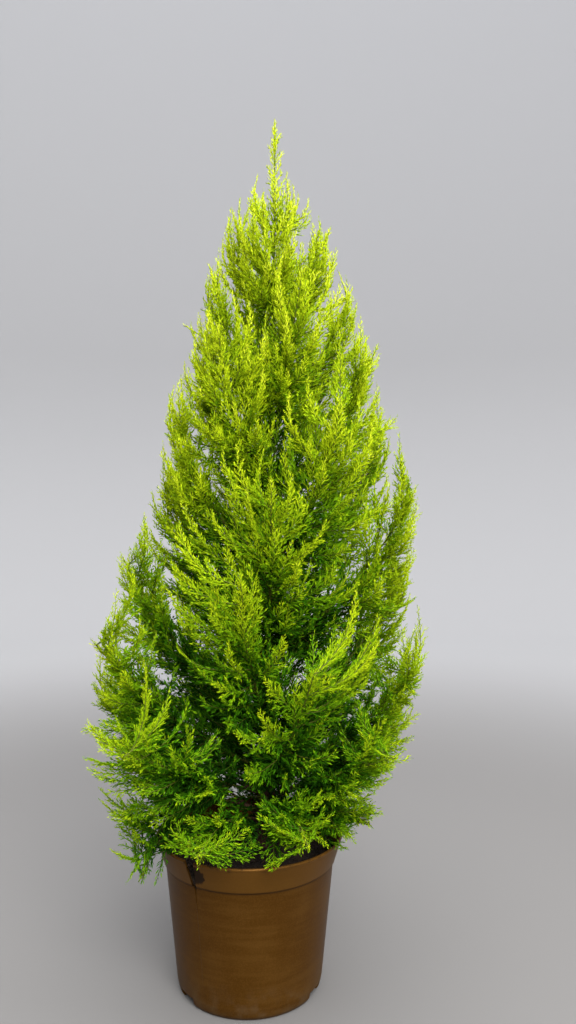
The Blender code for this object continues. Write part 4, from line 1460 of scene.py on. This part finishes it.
def trunk_feathers(rng):
    """Feathers that clothe the trunk itself, and spread over the soil at its foot."""
    share = (np.arange(TRUNK_FEATHERS) + rng.uniform(0.2, 0.8, TRUNK_FEATHERS)) / TRUNK_FEATHERS
    height = TRUNK_FEATHER_FOOT + (TRUNK_TIP - 0.012 - TRUNK_FEATHER_FOOT) * share
    turn = np.arange(TRUNK_FEATHERS) * GOLDEN_ANGLE
    low = 1.0 - steepness(height + 0.08)
    angle = np.radians(rng.normal(40, 6, TRUNK_FEATHERS) + 36 * low)[:, None]
    way = np.cos(angle) * UP + np.sin(angle) * outward_at(turn)
    length = np.minimum(TRUNK_FEATHER_LENGTH, 0.66 * crown_reach(height + 0.03, turn))
    length *= rng.uniform(0.75, 1.1, TRUNK_FEATHERS)
    roots = trunk_centre(height) + 0.8 * trunk_radius(height)[:, None] * outward_at(turn)
    points = roots + length[:, None] * way
    sweep = 0.12 * (1 - 0.8 * low)
    spray = SPRAY_NUMBERS["trunk"] + np.arange(len(turn))
    return free_shoots(curved_shoots(roots, points, sweep, spray, rng))


feathers = [feathers_to(points, wanted, SPRAY_NUMBERS["shells"] * (k + 1), shell_rng)
            for k, (points, (_, _, wanted, _, _)) in enumerate(zip(tips, SHELLS))]
feathers.append(trunk_feathers(shell_rng))
print([len(some.length) for some in feathers], "feathers")

# %% [markdown]
# Before the hollow stand single upright feathers, pale against the dark, and the eye goes to them
# first. Feathers dealt out evenly can't give them, so their tips are named one by one, by their
# places across and up. Each is set just inside the crown's front and grown from the nearest stem.

# %% Spires in front of the hollow
SPIRE_TIPS = (
    (-0.003, 0.453), (-0.013, 0.408), (0.040, 0.412), (0.052, 0.374),
    (-0.027, 0.369), (0.016, 0.345), (-0.008, 0.324), (0.003, 0.287),
    (-0.033, 0.266), (0.037, 0.242), (0.075, 0.262), (-0.066, 0.300),
)
SPIRE_LENGTH = 0.085
SPIRE_YOUTH = 0.45
SPIRE_DEPTH = 0.90


def front_spires(rng):
    """The bright upright feathers that stand before the hollow."""
    across, height = np.array(SPIRE_TIPS).T
    reach = crown_reach(height, np.full(len(height), 1.5 * math.pi))
    points = trunk_centre(height)
    points[:, 1] -= np.sqrt((SPIRE_DEPTH * reach) ** 2 - across ** 2)
    points[:, 0] = across
    made = feathers_to(points, SPIRE_LENGTH, SPRAY_NUMBERS["spires"], rng)
    made.youth = np.full(len(made.length), SPIRE_YOUTH)
    return made


feathers.append(front_spires(shell_rng))
print(len(feathers[-1].length), "spires,", np.round(1000 * feathers[-1].length), "mm long")

# %% [markdown]
# Even so some gaps stay open, most of all low down, where the pot refuses many feathers, and they
# let the light through. They could be closed by dealing out more tips everywhere, but that costs
# needles where none are missing. So thousands of places in the crown are tried, and a feather goes
# to the one that lies farthest from any shoot, then to the next, and so on. Low places count for
# more.

# %% Feathers into the widest gaps
GAP_FEATHERS = 230
GAP_TRIALS = 5000
GAP_ROWS = (0.186, 0.840)
GAP_FEATHER = 0.066
GAP_LIFT = 0.016
LOW_WORTH = ((0.22, 0.34), (1.7, 1.0))
GAP_SHELL = (0.12, 0.86)
GAP_STEP = 0.012
BATCHES = 250


def points_along(shoots, step):
    count = np.maximum(2, (shoots.length / step).astype(int))
    rows = np.repeat(np.arange(len(count)), count)
    order = np.arange(len(rows)) - np.searchsorted(rows, rows)
    return shoots.at(rows, (order + 0.5) / np.bincount(rows)[rows])


def distances(points, cloud):
    """From each point to the nearest one of the cloud."""
    nearest = [((some[:, None] - cloud[None]) ** 2).sum(axis=2).min(axis=1)
               for some in np.array_split(points, BATCHES)]
    return np.sqrt(np.concatenate(nearest))


def gap_tips(grown, rng):
    """The places in the crown that lie farthest from any shoot, one after the other."""
    height = rng.uniform(*GAP_ROWS, GAP_TRIALS)
    turn = rng.uniform(0, 2 * math.pi, GAP_TRIALS)
    reach = crown_reach(height, turn) * (1.0 - HOLLOW_DEPTH * hollow_at(height, turn))
    away = reach * np.sqrt(rng.uniform(*GAP_SHELL, GAP_TRIALS))
    trials = trunk_centre(height) + away[:, None] * outward_at(turn)
    trials = trials[~in_the_way(trials, 0.006)]
    worth = np.interp(trials[:, 2], *LOW_WORTH)
    room_left = distances(trials, points_along(grown, GAP_STEP))
    chosen = []
    for _ in range(GAP_FEATHERS):
        widest = (room_left * worth).argmax()
        chosen.append(widest)
        room_left = np.minimum(room_left, np.linalg.norm(trials - trials[widest], axis=1))
    return trials[chosen] + GAP_LIFT * UP, float(room_left.max())


gap_points, widest_left = gap_tips(joined(stems, sprays, *feathers), shell_rng)
feathers.append(feathers_to(gap_points, GAP_FEATHER, SPRAY_NUMBERS["gaps"], shell_rng))
axes = joined(sprays, *feathers)
print(len(feathers[-1].length), "feathers into gaps, the widest left is",
      round(1000 * widest_left), "mm;", round(float(axes.length.sum()), 1), "m of axis in all")

# %% [markdown]
# Every spray now branches like a fern. Its twigs stand in two uneven ranks, longest near its foot
# and ever shorter to a pointed tip, and the longer twigs carry twiglets in two looser ranks. Near
# the pot the twigs hang a little, and higher up they lift to the light. Inside the crown, where it
# is too dark for leaves, fewer of them have stayed alive.

# %% Twigs and twiglets
TWIG_SPACING = 0.0037
STEM_TWIG_SPACING = 0.0042
TWIGLET_SPACING = 0.0036
LEAST_TWIG = 0.0040
LEAST_BRANCHED = 0.0090
LEAST_TWIGLET = 0.0028
MOST_TWIG = 0.023
STRAY = 0.007
DEAD_DEPTH = 0.11
TWIG_POINT = 0.34
MOST_STEM_TWIG = 0.018
MOST_TWIGLET = 0.0080
TWIGS_ALIVE = (0.9, 2.6)
TWIGLETS_ALIVE = (0.1, 0.9)
AXIS_ANGLES = (37, 5, 9)
STEM_ANGLES = (48, 7, 16)
TWIGLET_ANGLES = (33, 6, 6)


def children(parents, spacing, first, last):
    """Parent row, order and share of the side shoots along each of the parents."""
    count = np.maximum(1, ((last - first) * parents.length / spacing).astype(int))
    rows = np.repeat(np.arange(len(count)), count)
    order = np.arange(len(rows)) - np.repeat(np.cumsum(count) - count, count)
    return rows, order, first + (last - first) * (order + 0.5) / count[rows]


def leaning(angles, share, rng):
    """Angles to the parent in radians, from their mean, spread and closing towards the tip."""
    mean, spread, closing = angles
    return np.radians(rng.normal(mean, spread, len(share)) - closing * share)


def side_shoots(parents, rows, share, roll, angle, length, forward, rise):
    """Shoots that leave their parents at an angle and bow forward, and up or down by rise."""
    heading = parents.heading(rows, share)
    flat = upright(parents.flat[rows], heading)
    across = np.cross(flat, heading)
    sideways = np.cos(roll)[:, None] * across + np.sin(roll)[:, None] * flat
    along = np.cos(angle)[:, None] * heading + np.sin(angle)[:, None] * sideways
    bow = forward * square_part(heading, along) + rise[:, None] * square_part(UP, along)
    youth = np.maximum(parents.youth[rows], share)
    start, spray = parents.at(rows, share), parents.spray[rows]
    return Shoots(start, along, upright(flat, along), bow, length, spray, youth)


def depth_of(points):
    """How far inside the crown's surface each point lies."""
    offset = points[:, :2] - trunk_centre(points[:, 2])[:, :2]
    reach = crown_reach(points[:, 2], np.arctan2(offset[:, 1], offset[:, 0]))
    return reach - np.hypot(offset[:, 0], offset[:, 1])


def fitting(shoots, least, alive, rng):
    """Drops shoots that are too short, leave the crown, or meet the pot, the soil or the trunk."""
    shoots = shoots.pick(shoots.length > least)
    tips, middles = shoots.each(1.0), shoots.each(0.5)
    from_trunk = np.linalg.norm(middles - trunk_centre(middles[:, 2]), axis=1)
    bad = outside_crown(tips, STRAY) | in_the_way(tips, 0.0015) | in_the_way(middles, 0.0015)
    bad |= (from_trunk < trunk_radius(middles[:, 2]) + 0.001) & (middles[:, 2] < TRUNK_TIP)
    bad |= depth_of(middles) > DEAD_DEPTH * rng.uniform(*alive, len(tips))
    return shoots.pick(~bad)


def rise_of(shoots, rows, rng):
    """How much side shoots lift, or hang near the pot."""
    return 0.20 * steepness(shoots.start[rows, 2]) - 0.06 + rng.normal(0.0, 0.06, len(rows))


def twigs_of_axes(rng):
    rows, order, share = children(axes, TWIG_SPACING, 0.05, 0.97)
    roll = np.where(order % 2, 0.0, math.pi) + rng.normal(0.0, 0.36, len(rows))
    angle = leaning(AXIS_ANGLES, share, rng)
    fan = SPRAY_WIDTH * axes.length[rows] * np.sin(math.pi * (LEAF_START + LEAF_SPAN * share))
    point = 0.003 + TWIG_POINT * (1.0 - share) * axes.length[rows]
    length = np.minimum(fan / np.sin(angle), point)
    length = np.minimum(length, MOST_TWIG) * rng.uniform(0.68, 1.10, len(rows))
    return side_shoots(axes, rows, share, roll, angle, length, 0.22, rise_of(axes, rows, rng))


def twigs_of_stems(rng):
    rows, order, share = children(stems, STEM_TWIG_SPACING, 0.06, 0.985)
    roll = order * GOLDEN_ANGLE + rng.normal(0.0, 0.3, len(rows))
    angle = leaning(STEM_ANGLES, share, rng)
    point = 0.003 + TWIG_POINT * (1.0 - share) * stems.length[rows]
    length = np.minimum(MOST_STEM_TWIG, point) * rng.uniform(0.7, 1.1, len(rows))
    return side_shoots(stems, rows, share, roll, angle, length, 0.20, rise_of(stems, rows, rng))


def twiglets_of(twigs, rng):
    twigs = twigs.pick(twigs.length > LEAST_BRANCHED)
    rows, order, share = children(twigs, TWIGLET_SPACING, 0.14, 0.92)
    roll = np.where(order % 2, 0.0, math.pi) + rng.normal(0.0, 0.7, len(rows))
    angle = leaning(TWIGLET_ANGLES, share, rng)
    length = 0.0022 + 0.24 * twigs.length[rows] * np.sin(math.pi * (0.20 + 0.70 * share))
    length = np.minimum(length, MOST_TWIGLET) * rng.uniform(0.7, 1.15, len(rows))
    made = side_shoots(twigs, rows, share, roll, angle, length, 0.18, rise_of(twigs, rows, rng))
    made.youth = twigs.youth[rows]
    return made


grow_rng = np.random.default_rng(SEED + 900)
twigs = joined(twigs_of_axes(grow_rng), twigs_of_stems(grow_rng))
twigs = fitting(twigs, LEAST_TWIG, TWIGS_ALIVE, grow_rng)
twiglets = fitting(twiglets_of(twigs, grow_rng), LEAST_TWIGLET, TWIGLETS_ALIVE, grow_rng)
print(len(twigs.length), "twigs,", round(float(twigs.length.sum())), "m;",
      len(twiglets.length), "twiglets,", round(float(twiglets.length.sum())), "m")

# %% [markdown]
# The needles are what gives the plant its colour. They are awl-shaped, about 3 mm long, and lie
# forward along the shoot, so that a clothed shoot looks like a soft finger. Here each is a folded
# lozenge of two triangles. There are fewer than on the plant, so they are broader than life. Deep
# inside the crown they are fewer still, and larger, because only their shade shows.

# %% Needles
NEEDLE_LENGTHS = (0.0028, 0.0039)
NEEDLE_SLIMNESS = 0.34
NEEDLE_GAPS = (0.0015, 0.00135, 0.00125)
NEEDLE_FOLD = 0.22
NEEDLE_LIFT = 0.0002
TIP_ANGLES = (0.02, 0.20)
SIDE_ANGLES = (0.24, 0.50)


def needles_on(shoots, spacing, rng):
    """Place, direction, outward side, length, parent row and youth of the needles on the shoots."""
    rows, order, share = children(shoots, spacing, 0.02, 1.0)
    here, heading = shoots.at(rows, share), shoots.heading(rows, share)
    flat = upright(shoots.flat[rows], heading)
    turn = order * GOLDEN_ANGLE + rng.uniform(0, 2 * math.pi, len(shoots.length))[rows]
    radial = np.cos(turn)[:, None] * flat + np.sin(turn)[:, None] * np.cross(heading, flat)
    last = order == np.bincount(rows)[rows] - 1
    at_tip, at_side = (rng.uniform(*some, len(rows)) for some in (TIP_ANGLES, SIDE_ANGLES))
    angle = np.where(last, at_tip, at_side)[:, None]
    along = np.cos(angle) * heading + np.sin(angle) * radial
    depth = depth_of(here)
    size = rng.uniform(*NEEDLE_LENGTHS, len(rows)) * (1.0 - 0.25 * share)
    size = size * (1 + np.clip(depth / 0.06, 0.0, 1.3))
    kept = rng.uniform(0.0, 1.0, len(rows)) < np.clip(1.2 - depth / 0.055, 0.30, 1.0)
    youth = 0.8 * shoots.youth[rows] + 0.2 * share
    columns = here + NEEDLE_LIFT * radial, along, upright(radial, along), size, rows, youth
    return [column[kept] for column in columns]


def needle_mesh(place, along, outward, size):
    """Four points and two triangles for each needle, folded along its middle."""
    width = NEEDLE_SLIMNESS * size[:, None]
    half = 0.5 * width * np.cross(along, outward)
    belly = place + 0.40 * size[:, None] * along
    drop = NEEDLE_FOLD * width * outward
    tip = place + size[:, None] * along
    points = np.stack([place, belly + half + drop, tip, belly - half + drop], axis=1)
    faces = np.array([(0, 1, 2), (0, 2, 3)])[None] + 4 * np.arange(len(place))[:, None, None]
    return points.reshape(-1, 3), faces.reshape(-1, 3)


shoot_kinds = (axes, twigs, twiglets)
needle_rng = np.random.default_rng(SEED + 950)
needle_groups = [needles_on(shoots, spacing, needle_rng)
                 for shoots, spacing in zip(shoot_kinds, NEEDLE_GAPS)]
print([len(group[0]) for group in needle_groups], "needles on sprays, twigs and twiglets")

# %% [markdown]
# The tips are lemon yellow, and the shade inside turns the green dark. Such a drift of colour could
# be one texture over the crown, but a plain colour for each of six tints is as true, because every
# needle has one colour. The tint follows how deep in the crown the needle sits, which paints the
# shade inside it, its height, which paints the light from above, how far out it grows on its spray
# and shoot, and a shade that its whole spray shares.

# %% Tints of the foliage
# The darker tints carry painted shade deep in the crown and low down, the paler ones painted light
# on the top and outside, beside the lemon of young tips.
TINTS = (
    ("inner_green", (0.011, 0.050, 0.002)),
    ("deep_green", (0.033, 0.118, 0.002)),
    ("leaf_green", (0.112, 0.235, 0.003)),
    ("fresh_green", (0.212, 0.318, 0.004)),
    ("lime", (0.322, 0.415, 0.006)),
    ("lemon", (0.450, 0.520, 0.018)),
)
MOST_TRIANGLES = 185000
# Heights over which the painted light from above grows, and depths over which the painted shade
# inside the crown deepens.
TOP_LIGHT_FOOT = 0.16
TOP_LIGHT_RISE = 0.75
LIT_DEPTHS = (0.060, 0.160)
TONE_SHARES = (0.42, 0.26, 0.32)
TONE_NOISE = 0.04
OWN_SHADE = 0.08
SHADE_SEED = 5
SHADES = 9000


def tint_of(points, spray, youth, rng):
    """Numbers of the tints, from the darkest inner green to the lemon of a tip."""
    # Painted light and shade: high lightens the needles towards the top, and lit darkens them
    # deeper in the crown.
    high = np.clip((points[:, 2] - TOP_LIGHT_FOOT) / TOP_LIGHT_RISE, 0.0, 1.0)
    lit = np.clip(1.0 - depth_of(points) / (LIT_DEPTHS[0] + LIT_DEPTHS[1] * high), 0.0, 1.0)
    own = np.random.default_rng(SHADE_SEED).uniform(-OWN_SHADE, OWN_SHADE, SHADES)[spray]
    tone = TONE_SHARES[0] * lit + TONE_SHARES[1] * high + TONE_SHARES[2] * youth + own
    tone = np.clip(tone + rng.normal(0.0, TONE_NOISE, len(points)), 0.0, 0.999)
    return (tone * len(TINTS)).astype(int)


def plain_finish(name, colour, roughness, specular):
    return new_finish(name, colour, roughness, specular)[0]


foliage_nodes = [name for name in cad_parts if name.startswith("foliage_")]
tint_finishes = [plain_finish(name, colour, 0.7, 0.02) for name, colour in TINTS]
tint_rng = np.random.default_rng(SEED + 970)
needle_columns = [np.concatenate(column) for column in zip(*(group[:4] for group in needle_groups))]
needle_tints = np.concatenate([tint_of(group[0], shoots.spray[group[4]], group[5], tint_rng)
                               for shoots, group in zip(shoot_kinds, needle_groups)])
for tint, (tint_name, _) in enumerate(TINTS):
    chosen = np.flatnonzero(needle_tints == tint)
    for part, first in enumerate(range(0, len(chosen), MOST_TRIANGLES // 2)):
        few = chosen[first:first + MOST_TRIANGLES // 2]
        mesh = needle_mesh(*(column[few] for column in needle_columns))
        piece = mesh_piece(f"needles_{tint_name}_{part + 1}", *mesh, smooth=False)
        put_on(piece, tint_finishes[tint], foliage_nodes)
    print(tint_name, len(chosen), "needles")

# %% [markdown]
# Under the needles a young shoot is green too, because the feet of the needles run down it and
# cover it. So twigs and twiglets are slim three-sided cones in the tints of their needles, and only
# the axes of the sprays and the stems are wood. Round tubes would look the same at this size.

# %% Shoots under the needles
LEAST_BENT = 0.014
SPRAY_WOOD = (0.070, 0.088, 0.008)
STEM_WOOD = (0.075, 0.092, 0.010)
BENT_TWIG = (0.00065, 0.0005)
SHORT_TWIG = (0.0006, 0.0002)
AXIS_RADII = (0.0004, 0.0009)
STEM_RADII = (0.0008, 0.0016)


def tubes(shoots, sides, rings, thick, thin, first=0.0):
    """Tapering tubes that end in a point: thick at the foot and thin at the last ring."""
    every = np.arange(len(shoots.length))
    turn = 2 * math.pi * np.arange(sides) / sides
    thick, thin = np.broadcast_to(thick, every.shape), np.broadcast_to(thin, every.shape)
    rows = []
    for step in range(rings):
        share = np.full(len(every), first + (1.0 - first) * step / rings)
        centre, heading = shoots.at(every, share), shoots.heading(every, share)
        flat = upright(shoots.flat, heading)
        across = np.cross(flat, heading)
        radius = (thick + (thin - thick) * step / rings)[:, None, None]
        ring = np.cos(turn)[None, :, None] * across[:, None]
        ring = ring + np.sin(turn)[None, :, None] * flat[:, None]
        rows.append(centre[:, None] + radius * ring)
    rows.append(shoots.each(1.0)[:, None])
    points = np.concatenate(rows, axis=1)
    here = np.arange(sides)
    after = (here + 1) % sides
    faces = []
    for step in range(rings - 1):
        low, high = step * sides, (step + 1) * sides
        faces.append(np.stack([low + here, low + after, high + after], axis=1))
        faces.append(np.stack([low + here, high + after, high + here], axis=1))
    low, tip = (rings - 1) * sides, np.full(sides, rings * sides)
    faces.append(np.stack([low + here, low + after, tip], axis=1))
    faces = np.concatenate(faces)[None] + points.shape[1] * every[:, None, None]
    return points.reshape(-1, 3), faces.reshape(-1, 3)


def wood(name, finish, meshes):
    """One piece from several meshes."""
    piece = mesh_piece(name, *merged(meshes))
    put_on(piece, finish, foliage_nodes)
    print(name, len(piece.data.polygons), "triangles")


def shoot_tints(shoots):
    # Twigs take the same painted shade and light as their needles.
    return tint_of(shoots.each(0.5), shoots.spray, 0.9 * shoots.youth, tint_rng)


twig_tints, twiglet_tints = shoot_tints(twigs), shoot_tints(twiglets)
for tint, (tint_name, _) in enumerate(TINTS):
    some_twigs, some_twiglets = twigs.pick(twig_tints == tint), twiglets.pick(twiglet_tints == tint)
    long_ones = some_twigs.length > LEAST_BENT
    wood("shoots_" + tint_name, tint_finishes[tint], [
        tubes(some_twigs.pick(long_ones), 3, 2, *BENT_TWIG),
        tubes(some_twigs.pick(~long_ones), 3, 1, *SHORT_TWIG),
        tubes(some_twiglets, 3, 1, *SHORT_TWIG),
    ])
axis_radii = np.clip(0.010 * axes.length, *AXIS_RADII)
spray_bark = plain_finish("spray_bark", SPRAY_WOOD, 0.75, 0.15)
wood("spray_wood", spray_bark, [tubes(axes, 3, 4, axis_radii, 0.0003)])
stem_radii = np.clip(0.0070 * stems.length, *STEM_RADII)
stem_bark = plain_finish("stem_bark", STEM_WOOD, 0.8, 0.1)
wood("stem_wood", stem_bark, [tubes(stems, 8, 22, stem_radii, 0.0004, -0.01)])
